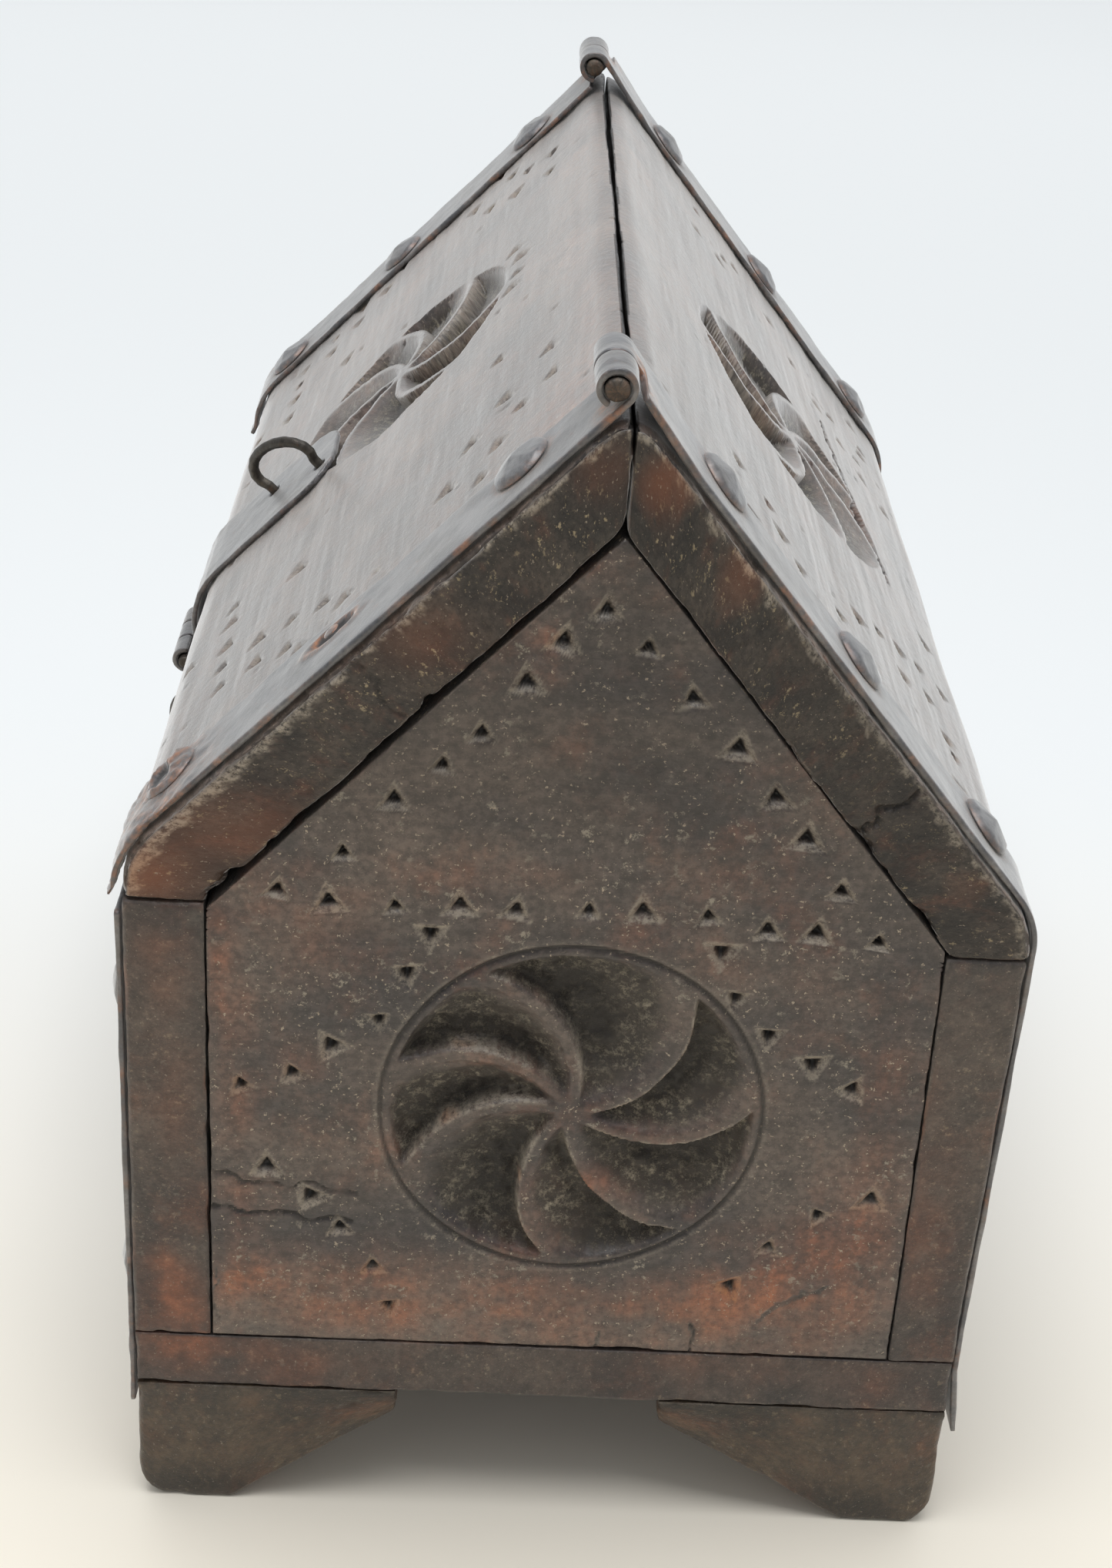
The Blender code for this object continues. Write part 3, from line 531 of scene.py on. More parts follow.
def add(tree, kind, settings=None, **inputs):
    """A node with its settings, and its inputs set to values or joined to other nodes' outputs."""
    item = tree.nodes.new("ShaderNode" + kind)
    for key, value in (settings or {}).items():
        setattr(item, key, value)
    for key, value in inputs.items():
        numbered = key[0] == "i" and key[1:].isdigit()
        feed(tree, item.inputs[int(key[1:]) if numbered else key.replace("_", " ")], value)
    return item


def rgb(red, green, blue):
    """A colour as a screen shows it, from 0 to 255, as the light it stands for."""
    share = [value / 255 for value in (red, green, blue)]
    light = [value / 12.92 if value <= 0.04045 else ((value + 0.055) / 1.055) ** 2.4 for value in share]
    return (*light, 1.0)


def blend(tree, share, first, second, kind="MIX"):
    """Colour blend. first and second are colours or outputs."""
    item = tree.nodes.new("ShaderNodeMix")
    item.data_type = "RGBA"
    item.blend_type = kind
    for number, value in ((0, share), (6, first), (7, second)):
        feed(tree, item.inputs[number], value)
    return item.outputs[2]


def figure(tree, operation, first, second=0.0, third=0.0, clamp=False):
    item = tree.nodes.new("ShaderNodeMath")
    item.operation = operation
    item.use_clamp = clamp
    for socket, value in zip(item.inputs, (first, second, third)):
        feed(tree, socket, value)
    return item.outputs[0]


def stretch(tree, place, scale):
    item = add(tree, "VectorMath", {"operation": "MULTIPLY"}, i0=place, i1=scale)
    return item.outputs[0]


def speckle(tree, place, scale, low, high, detail=3.0, roughness=0.6):
    """Noise turned into a mask between two levels."""
    cloud = add(tree, "TexNoise", None, Vector=place, Scale=scale, Detail=detail, Roughness=roughness)
    mask = add(tree, "MapRange", {"interpolation_type": "SMOOTHSTEP"}, i0=cloud.outputs[0], i1=low, i2=high)
    return mask.outputs[0]


def new_group(name, inputs, outputs):
    group = bpy.data.node_groups.new(name, "ShaderNodeTree")
    for label, kind, value in inputs:
        socket = group.interface.new_socket(label, in_out="INPUT", socket_type="NodeSocket" + kind)
        if value is not None:
            socket.default_value = value
    for label, kind in outputs:
        group.interface.new_socket(label, in_out="OUTPUT", socket_type="NodeSocket" + kind)
    return group, group.nodes.new("NodeGroupInput").outputs, group.nodes.new("NodeGroupOutput").inputs


def tint(tree, share, colour, low, high):
    """Makes a colour darker or lighter between two factors."""
    factor = blend(tree, share, (low, low, low, 1), (high, high * 0.99, high * 0.98, 1))
    return blend(tree, 1.0, colour, factor, "MULTIPLY")


def make_old_wood():
    """Old dark hardwood: waxed skin, rubbed orange patches, pale dust, open end grain and dark splits. Its dark
    mark also carries painted shade, and its orange and pale marks some painted highlight.
    """
    group, given, result = new_group(
        "old wood",
        (("Place", "Vector", None), ("End Grain", "Float", 0.0), ("Hollow", "Float", 0.0),
         ("Wear", "Float", 0.0), ("Stain And Shade", "Float", 0.0), ("Dark", "Color", rgb(66, 62, 62)),
         ("Brown", "Color", rgb(101, 90, 83)), ("Orange", "Color", rgb(172, 104, 70)),
         ("Rubbed", "Float", 0.0), ("Patchy", "Float", 0.3), ("Dust", "Float", 0.5),
         ("End Share", "Float", 0.92)),
        (("Color", "Color"), ("Roughness", "Float"), ("Height", "Float")))
    tree = group
    place = given["Place"]
    patches = speckle(tree, stretch(tree, place, (0.6, 1.0, 1.0)), 38.0, 0.34, 0.66, 5.0)
    fibres = speckle(tree, stretch(tree, place, (0.10, 1.0, 1.0)), 800.0, 0.30, 0.70, 4.0)
    skin = speckle(tree, place, 620.0, 0.36, 0.66, 4.0, 0.72)
    colour = blend(tree, patches, given["Dark"], given["Brown"])
    colour = tint(tree, fibres, colour, 0.90, 1.08)
    # Rubbed through to the orange wood, in soft brushed patches, with some painted highlight along the
    # carving's walls
    cloudy = figure(tree, "MULTIPLY", speckle(tree, place, 48.0, 0.46, 0.72, 5.0, 0.66), given["Patchy"])
    own = given["Rubbed"]
    brushed = speckle(tree, stretch(tree, place, (1.0, 0.22, 0.22)), 320.0, 0.30, 0.66, 4.0)
    brushed = figure(tree, "MULTIPLY_ADD", brushed, 0.55, 0.45)
    rubbed = figure(tree, "MULTIPLY", figure(tree, "MAXIMUM", cloudy, own), brushed)
    colour = blend(tree, figure(tree, "MULTIPLY", rubbed, 0.72), colour, given["Orange"])
    colour = tint(tree, skin, colour, 0.66, 1.28)
    soiled = figure(tree, "MULTIPLY", speckle(tree, place, 170.0, 0.50, 0.70, 5.0, 0.7), 0.6)
    colour = blend(tree, soiled, colour, rgb(50, 45, 43))
    flecks = figure(tree, "MULTIPLY", speckle(tree, place, 430.0, 0.58, 0.68, 4.0, 0.75),
                    speckle(tree, place, 60.0, 0.40, 0.62, 3.0))
    colour = blend(tree, figure(tree, "MULTIPLY", flecks, given["Dust"]), colour, rgb(148, 140, 126))
    # End grain
    end_share = add(tree, "MapRange", None, i0=given["End Grain"], i1=0.6, i2=0.9).outputs[0]
    clouds = speckle(tree, place, 75.0, 0.36, 0.66, 5.0, 0.65)
    end_tone = blend(tree, clouds, rgb(28, 26, 25), rgb(70, 62, 55))
    red_clouds = speckle(tree, stretch(tree, place, (1.7, 1.3, 0.9)), 95.0, 0.50, 0.70, 4.0)
    red_clouds = figure(tree, "MULTIPLY", red_clouds, 0.42)
    end_tone = blend(tree, red_clouds, end_tone, rgb(104, 60, 42))
    pores = speckle(tree, place, 900.0, 0.36, 0.64, 3.0, 0.7)
    end_tone = tint(tree, pores, end_tone, 0.55, 1.30)
    crumbs = speckle(tree, place, 620.0, 0.58, 0.68, 3.0, 0.75)
    crumbs = figure(tree, "MULTIPLY", crumbs, speckle(tree, place, 110.0, 0.40, 0.62, 3.0))
    end_tone = blend(tree, figure(tree, "MULTIPLY", crumbs, 0.75), end_tone, rgb(172, 156, 124))
    end_tone = blend(tree, figure(tree, "MULTIPLY", own, 0.8), end_tone, rgb(146, 86, 54))
    colour = blend(tree, figure(tree, "MULTIPLY", end_share, given["End Share"]), colour, end_tone)
    grit = speckle(tree, place, 1150.0, 0.64, 0.71, 2.0, 0.7)
    colour = blend(tree, figure(tree, "MULTIPLY", grit, given["Dust"]), colour, rgb(166, 152, 134))
    # Crumbly dust in the hollows
    crumbly = speckle(tree, place, 560.0, 0.46, 0.66, 5.0, 0.85)
    crumbly = figure(tree, "MULTIPLY", crumbly, speckle(tree, place, 150.0, 0.30, 0.56, 3.0))
    dust_tone = blend(tree, crumbly, rgb(54, 49, 43), rgb(176, 166, 146))
    colour = blend(tree, figure(tree, "MULTIPLY", given["Hollow"], 0.85, clamp=True), colour, dust_tone)
    # Rubbed, frayed edges, and pale marks that are partly painted highlight
    frayed = speckle(tree, place, 760.0, 0.34, 0.60, 4.0, 0.8)
    edge_tone = blend(tree, own, rgb(158, 148, 134), rgb(176, 122, 84))
    colour = blend(tree, figure(tree, "MULTIPLY", given["Wear"], frayed, clamp=True), colour, edge_tone)
    # Near black for dark splits and joints, and for painted shade in pits and hollows
    colour = blend(tree, given["Stain And Shade"], colour, rgb(17, 14, 12))
    link(tree, colour, result["Color"])
    shine = add(tree, "MapRange", None, i0=skin, i1=0.0, i2=1.0, i3=0.32, i4=0.48).outputs[0]
    shine = figure(tree, "ADD", shine, figure(tree, "MULTIPLY", given["Hollow"], 0.3))
    shine = figure(tree, "ADD", shine, figure(tree, "MULTIPLY", end_share, 0.12), clamp=True)
    link(tree, shine, result["Roughness"])
    height = figure(tree, "MULTIPLY", fibres, 0.30)
    height = figure(tree, "ADD", height, figure(tree, "MULTIPLY", skin, 0.55))
    for relief, where, share in ((pores, end_share, 0.7), (crumbly, given["Hollow"], 3.0)):
        relief = figure(tree, "MULTIPLY", relief, figure(tree, "MULTIPLY", where, share))
        height = figure(tree, "ADD", height, relief)
    link(tree, height, result["Height"])
    return group


def make_forged_iron():
    """Hand-forged strip: blue-grey skin, with rust along the edges and in the pits."""
    group, given, result = new_group(
        "forged iron",
        (("Place", "Vector", None), ("Wear", "Float", 0.0), ("Rust", "Float", 0.0), ("Painted Shade", "Float", 0.0),
         ("Skin", "Color", rgb(104, 102, 101)), ("Rust Share", "Float", 0.5)),
        (("Color", "Color"), ("Roughness", "Float"), ("Height", "Float"), ("Metal", "Float")))
    tree = group
    place = given["Place"]
    cloud = speckle(tree, place, 130.0, 0.34, 0.68, 5.0)
    grain = speckle(tree, place, 1000.0, 0.34, 0.66, 4.0, 0.7)
    colour = blend(tree, cloud, (0.58, 0.59, 0.62, 1), (1.24, 1.22, 1.19, 1))
    colour = blend(tree, 1.0, given["Skin"], colour, "MULTIPLY")
    colour = tint(tree, grain, colour, 0.78, 1.20)
    brown = figure(tree, "MULTIPLY", speckle(tree, place, 60.0, 0.46, 0.68, 4.0), 0.45)
    colour = blend(tree, brown, colour, rgb(88, 80, 72))
    flakes = speckle(tree, place, 300.0, 0.56, 0.68, 5.0, 0.7)
    edge_rust = figure(tree, "MULTIPLY", given["Wear"], speckle(tree, place, 260.0, 0.42, 0.58, 4.0))
    rust = figure(tree, "MULTIPLY", figure(tree, "MAXIMUM", flakes, edge_rust), given["Rust Share"])
    own = figure(tree, "MULTIPLY", given["Rust"], speckle(tree, place, 420.0, 0.28, 0.62, 5.0, 0.75))
    rust = figure(tree, "MAXIMUM", rust, own, clamp=True)
    rust_tone = blend(tree, speckle(tree, place, 650.0, 0.35, 0.65, 4.0), rgb(84, 64, 50), rgb(176, 116, 74))
    colour = blend(tree, rust, colour, rust_tone)
    # Painted shade in rust pits and holes, near black
    painted_shade = given["Painted Shade"]
    colour = blend(tree, painted_shade, colour, rgb(22, 18, 16))
    link(tree, colour, result["Color"])
    shine = add(tree, "MapRange", None, i0=grain, i1=0.0, i2=1.0, i3=0.36, i4=0.54).outputs[0]
    shine = figure(tree, "ADD", shine, figure(tree, "MULTIPLY", rust, 0.35), clamp=True)
    link(tree, shine, result["Roughness"])
    height = figure(tree, "ADD", figure(tree, "MULTIPLY", grain, 0.5), figure(tree, "MULTIPLY", rust, 0.6))
    link(tree, figure(tree, "ADD", height, figure(tree, "MULTIPLY", cloud, 0.4)), result["Height"])
    covered = figure(tree, "MULTIPLY", figure(tree, "MAXIMUM", rust, painted_shade), 0.6)
    bare = figure(tree, "SUBTRACT", 0.6, covered, clamp=True)
    link(tree, bare, result["Metal"])
    return group


OLD_WOOD = make_old_wood()
FORGED_IRON = make_forged_iron()


def stock_material(name, group, values, shader_values, relief):
    """A material round one of the groups, which reads the piece's own marks."""
    material = bpy.data.materials.new(name)
    material.use_nodes = True
    tree = material.node_tree
    shader = tree.nodes["Principled BSDF"]
    skin = tree.nodes.new("ShaderNodeGroup")
    skin.node_tree = group
    # The iron's painted shade in pits comes through the rubbed mark
    marks = {"End Grain": "end_grain", "Hollow": "hollow", "Wear": "wear", "Stain And Shade": "stain_and_shade", "Rust": "stain_and_shade",
             "Rubbed": "rubbed", "Painted Shade": "rubbed"}
    for label, mark in marks.items():
        if label in skin.inputs:
            reader = tree.nodes.new("ShaderNodeAttribute")
            reader.attribute_name = mark
            link(tree, reader.outputs["Fac"], skin.inputs[label])
    for label, value in values.items():
        skin.inputs[label].default_value = value
    reader = tree.nodes.new("ShaderNodeAttribute")
    reader.attribute_name = "stock"
    link(tree, reader.outputs["Vector"], skin.inputs["Place"])
    link(tree, skin.outputs["Color"], shader.inputs["Base Color"])
    link(tree, skin.outputs["Roughness"], shader.inputs["Roughness"])
    if "Metal" in skin.outputs:
        link(tree, skin.outputs["Metal"], shader.inputs["Metallic"])
    bump = add(tree, "Bump", None, Strength=0.7, Distance=relief, Height=skin.outputs["Height"])
    link(tree, bump.outputs[0], shader.inputs["Normal"])
    for label, value in shader_values.items():
        shader.inputs[label].default_value = value
    return material


WAXED = {"Sheen Weight": 0.08, "Sheen Roughness": 0.40, "Coat Weight": 0.15, "Coat Roughness": 0.30}
POLISHED = {"Sheen Weight": 0.72, "Sheen Roughness": 0.45, "Coat Weight": 0.6, "Coat Roughness": 0.28}
WORN_BRIGHT = {"Sheen Weight": 0.7, "Sheen Roughness": 0.40, "Coat Weight": 0.5, "Coat Roughness": 0.30}
wood_gable = stock_material("gable wood", OLD_WOOD, {"Patchy": 0.35, "Dust": 1.0}, WAXED, 0.00018)
wood_end = stock_material("roof board end grain", OLD_WOOD, {"Patchy": 0.3, "Dust": 0.6},
                          {"Coat Weight": 0.1}, 0.00022)
wood_roof = stock_material("roof board wood", OLD_WOOD,
                           {"Patchy": 0.25, "Dust": 0.6, "Dark": rgb(74, 65, 60), "Brown": rgb(120, 104, 94)},
                           POLISHED, 0.00028)
wood_wall = stock_material("wall wood", OLD_WOOD, {"Patchy": 0.45, "Dust": 0.5, "End Share": 0.35},
                           WAXED, 0.00015)
wood_foot = stock_material("foot wood", OLD_WOOD,
                           {"Patchy": 0.5, "Dust": 0.4, "End Share": 0.3, "Dark": rgb(66, 60, 52),
                            "Brown": rgb(104, 88, 70)},
                           WAXED, 0.00015)
iron_strap = stock_material("strap iron", FORGED_IRON, {"Rust Share": 0.20, "Skin": rgb(116, 116, 118)},
                            WORN_BRIGHT, 0.00012)
iron_nail = stock_material("nail iron", FORGED_IRON, {"Rust Share": 0.12, "Skin": rgb(112, 113, 116)},
                           WORN_BRIGHT, 0.00010)
iron_wire = stock_material("wire iron", FORGED_IRON, {"Rust Share": 0.15, "Skin": rgb(80, 76, 70)}, {}, 0.00014)


# The boards


def along_roof(outer, inner, thickness, side):
    """Sets flat stock between a roof board's outside and its underside."""
    def shape(points):
        share = np.clip(points[:, 0] / outer.length, 0, 1)
        top = outer.at(share * outer.length)
        under = inner.at(share * inner.length)
        height = (points[:, 2] / thickness)[:, None]
        yz = under + (top - under) * height
        yz[:, 0] += side * np.minimum(points[:, 0], 0)
        return np.column_stack((points[:, 1] - HALF_LENGTH, yz))
    return shape


def roof_radius(seed):
    """The roof boards' edges are ragged along the end grain and the ridge, and soft elsewhere."""
    def radius(points):
        end = np.minimum(points[:, 1], 2 * HALF_LENGTH - points[:, 1])
        top = ramp(points[:, 2], 0.009, 0.014)
        ragged = ramp(end, 0.004, 0.0) * top
        ridge = ramp(points[:, 0], 0.004, 0.0) * top
        base = 0.0008 + 0.0003 * rough(points, 0.009, seed)
        base += ridge * (0.0004 * np.abs(rough(points, (0.004, 0.011, 0.004), seed + 6)) - 0.0004)
        ragged = ragged * (1 - 0.9 * ridge)
        return np.minimum(base + ragged * (0.0004 + 0.0009 * np.abs(rough(points, 0.005, seed + 4))), 0.0019)
    return radius


def slope_places(points, outer, down):
    """Each point's place along the ridge and down the slope, as on the real board."""
    spots = outer.at(np.clip(points[:, 0], 0, outer.length))
    return points[:, 1] - HALF_LENGTH, (spots - RIDGE_SPOT) @ down


# Orange patches: place, half sizes and strength, in millimetres
LID_RUBBED = ((100, 12, 16, 9, 0.8), (118, 20, 8, 12, 0.5), (60, 8, 22, 5, 0.5), (86, 30, 14, 7, 0.35),
              (40, 60, 10, 14, 0.2), (10, 12, 20, 5, 0.35), (112, 60, 6, 16, 0.3), (95, 118, 20, 6, 0.3))
LID_END_RUBBED = ((-78, 148, 10, 7, 0.9), (-62, 158, 12, 7, 0.55), (-30, 196, 9, 6, 0.35), (0, 228, 5, 5, 0.3))
BACK_RUBBED = ((118, 12, 8, 10, 0.5), (60, 10, 22, 5, 0.25), (116, 60, 5, 40, 0.3), (90, 112, 24, 6, 0.25))
BACK_END_RUBBED = ((24, 210, 6, 9, 0.55), (10, 226, 6, 6, 0.8), (70, 152, 10, 7, 0.35))


def make_roof_board(name, side, node, body):
    outer = half_outline(side)
    down = FRONT_DOWN if side < 0 else BACK_DOWN
    edge = RIDGE.x + side * SEAM
    seed = 11 if side < 0 else 31
    if side < 0:
        peak = Vector((edge, LID_PEAK.y))
        inner = Path([Vector((edge, 0.222))] + fillet(Vector((edge, 0.23)), peak, LID_FOOT, 0.008) + [LID_FOOT])
        middle, disc, arms, places = (-0.015, 0.064), 0.032, LID_ARMS, LID_CHIPS
        rubbed, end_rubbed = LID_RUBBED, LID_END_RUBBED
        cap_cracks = [(mm(((-42.2, 190.7), (-37.0, 187.5), (-32.3, 180.4))), 0.5)]
        face_cracks = []
    else:
        inner = Path([Vector((edge, BACK_PEAK.y)), BACK_FOOT])
        middle, disc, arms, places = (0.005, 0.064), 0.034, BACK_ARMS, BACK_CHIPS
        rubbed, end_rubbed = BACK_RUBBED, BACK_END_RUBBED
        cap_cracks = [(mm(((48.6, 161.8), (52.0, 166.5), (59.8, 170.7))), 1.0),
                      (mm(((21.9, 195.3), (31.0, 203.1))), 0.25)]
        face_cracks = [mm(((21, 99.9), (0, 97), (-22, 90.1), (-43, 86), (-53, 85.9)))]
    thickness = 0.015
    start = middle[0] + HALF_LENGTH
    top = middle[1] - disc
    a = ruled(0.0, (0.0015, 0.0003), (top - 0.002, 0.00076), (top + 2 * disc + 0.003, 0.00057),
              (outer.length, 0.00078))
    b = ruled(0.0, (0.005, 0.0007), (start - disc - 0.003, 0.0011), (start + disc + 0.003, 0.0006),
              (2 * HALF_LENGTH - 0.006, 0.0008), (2 * HALF_LENGTH, 0.0005))
    c = ruled(0.0, (thickness, 0.00068))
    place = along_roof(outer, inner, thickness, side)

    def carve(points, out):
        x, drop = slope_places(points, outer, down)
        top_face = ramp(out[:, 2], 0.80, 0.98)
        cap = ramp(np.abs(out[:, 1]), 0.80, 0.98)
        cut, under, edge = rosette(x - middle[0], middle[1] - drop, disc, arms, TWIST)
        pits, dark, pale = chips(x, drop, places, 0.0052, 0.0015)
        hollow = ramp(cut, 0.12, 0.6) * top_face
        depth = top_face * (cut * ROSETTE_DEPTH + pits)
        real = place(points)
        grain = rough(points, 0.010, seed + 80)
        # The chips' dark points are painted shade
        stain_and_shade = dark * 0.9 * top_face - warmed(x, drop, rubbed) * top_face * (0.6 + 0.4 * grain)
        # Orange along the rosette's walls: partly wear, partly painted highlight
        stain_and_shade -= under * top_face * ramp(grain, -0.2, 0.8) * 0.5
        if side > 0:
            stain_and_shade += cap * 0.34 * ramp(grain, -1.0, 0.3)
        end_strength = 1.6 if side > 0 else 1.0
        stain_and_shade -= warmed(real[:, 1], real[:, 2], end_rubbed) * cap * (0.7 + 0.3 * grain) * end_strength
        for line in face_cracks:
            open_share = split(drop, x, [(v, u) for u, v in line], 0.0006, 0.0008, seed) * top_face
            depth += open_share * 0.0012
            stain_and_shade = darkened(stain_and_shade, open_share)
        for number, (line, strength) in enumerate(cap_cracks):
            open_share = split(real[:, 1], real[:, 2], line, 0.0007, 0.0012, seed + number) * cap * strength
            depth += open_share * 0.0012
            stain_and_shade = darkened(stain_and_shade, open_share)
        # The open seam along the ridge is dark, and the boards nearly touch at the ends
        end = np.minimum(points[:, 1], 2 * HALF_LENGTH - points[:, 1])
        depth -= ramp(-out[:, 0], 0.5, 0.9) * ramp(end, 0.050, 0.036) * RIDGE_SWELL
        seam = np.clip(0.0005 + 0.0004 * rough(points, (0.004, 0.012, 0.004), seed + 92), 0.0002, 0.0012)
        in_seam = ramp(points[:, 0], seam, seam * 0.5) * (1 - cap) * ramp(points[:, 2], 0.008, 0.012)
        stain_and_shade = darkened(stain_and_shade, in_seam)
        # Short cracks and scratches run along the grain
        scratch = ramp(rough(points, (0.0011, 0.016, 0.0011), seed + 97, 2), 0.95, 1.25)
        stain_and_shade = darkened(stain_and_shade, scratch, 0.5 * top_face)
        depth += scratch * top_face * 0.00012
        # The end grain's top edge is crumbled away under the straps
        crumbled = ramp(end, 0.0030, 0.0006) * ramp(out[:, 2], 0.3, 0.8)
        crumbled *= np.where(points[:, 1] < HALF_LENGTH, ramp(points[:, 0], 0.001, 0.008), 1.0)
        ragged = 0.0008 + 0.0006 * rough(points, 0.004, seed + 90)
        if side > 0:
            ragged = ragged * ramp(drop, 0.085, 0.030)
        depth += crumbled * np.clip(ragged, 0, 0.002)
        # The lower edge of the end grain is chipped
        gone = ramp(rough(points, (0.006, 0.004, 0.004), seed + 40), 0.0, 0.9) * ramp(points[:, 2], 0.0035, 0.0)
        depth += gone * ramp(drop, 0.035, 0.080) * ramp(end, 0.006, 0.001) * (0.0022 if side < 0 else 0.0010)
        depth += tool_marks(points, seed, 1) * 1.9
        depth += nicks(points, seed + 50, 0.004, 0.25, 0.0004)
        depth += cap * rough(points, 0.0028, seed + 60) * 0.00016
        fray = 0.0013 * rough(points, 0.0020, seed + 95)
        if side < 0:
            fray += 0.0012 * ramp(drop, 0.06, 0.11)
        # The chips' pale sides and the rosette's crests are paler: partly wear, partly painted highlight
        wear = (pale * 0.7 + edge * 0.6) * top_face + cap * ramp(points[:, 2] + fray, 0.0130, 0.0140)
        wear += cap * ramp(points[:, 2], 0.0010, 0.0002) * 0.3 * ramp(grain, 0.0, 0.6)
        return depth, np.clip(hollow, 0, 1), wear, np.clip(stain_and_shade, -1, 1)

    piece = stock(name, node, wood_roof, a, b, c, roof_radius(seed), place, carve, bent=("c0",), body=body)
    piece.data.materials.append(wood_end)
    # The end grain and the dark bottoms of cracks and chips have no polish, so that the painted shade in the
    # chips stays dark
    dark = np.zeros(len(piece.data.loops), np.float32)
    piece.data.attributes["stain_and_shade"].data.foreach_get("value", dark)
    dull = [abs(face.normal.x) > 0.62 or dark[list(face.loop_indices)].mean() > 0.4
            for face in piece.data.polygons]
    piece.data.polygons.foreach_set("material_index", [int(kind) for kind in dull])


def roofline(y):
    """The gable's top edge under the two roof boards, at each y."""
    lid_down = (LID_FOOT - LID_PEAK).normalized()
    back_down = (BACK_FOOT - BACK_PEAK).normalized()
    lid_out = np.array((lid_down.y, -lid_down.x))
    back_out = np.array((-back_down.y, back_down.x))
    front_spot = np.array(LID_PEAK) - lid_out * LID_GAP
    back_spot = np.array(BACK_PEAK) - back_out * SEAM
    front = front_spot[1] + (y - front_spot[0]) * lid_down.y / lid_down.x
    back = back_spot[1] + (y - back_spot[0]) * back_down.y / back_down.x
    return np.minimum(front, back)


GABLE_RUBBED = ((-62, 95, 4, 40, 0.50), (-60, 56, 6, 5, 1.0), (-40, 58, 16, 12, 0.40), (0, 52, 48, 8, 1.10),
                (44, 60, 15, 12, 1.25), (55, 74, 10, 12, 0.60), (-3, 211, 4, 3, 1.0), (-8, 196, 3, 6, 0.8),
                (20, 201, 8, 4, 0.30), (-65, 131, 3, 10, 0.9), (60, 100, 6, 26, 0.45), (-34, 92, 6, 5, 0.3),
                (5, 81, 9, 6, 0.8), (-18, 152, 26, 8, 0.25), (-47, 140, 10, 18, 0.40), (45, 128, 8, 8, 0.3),
                (-50, 108, 5, 4, 0.5), (30, 168, 6, 10, 0.25))


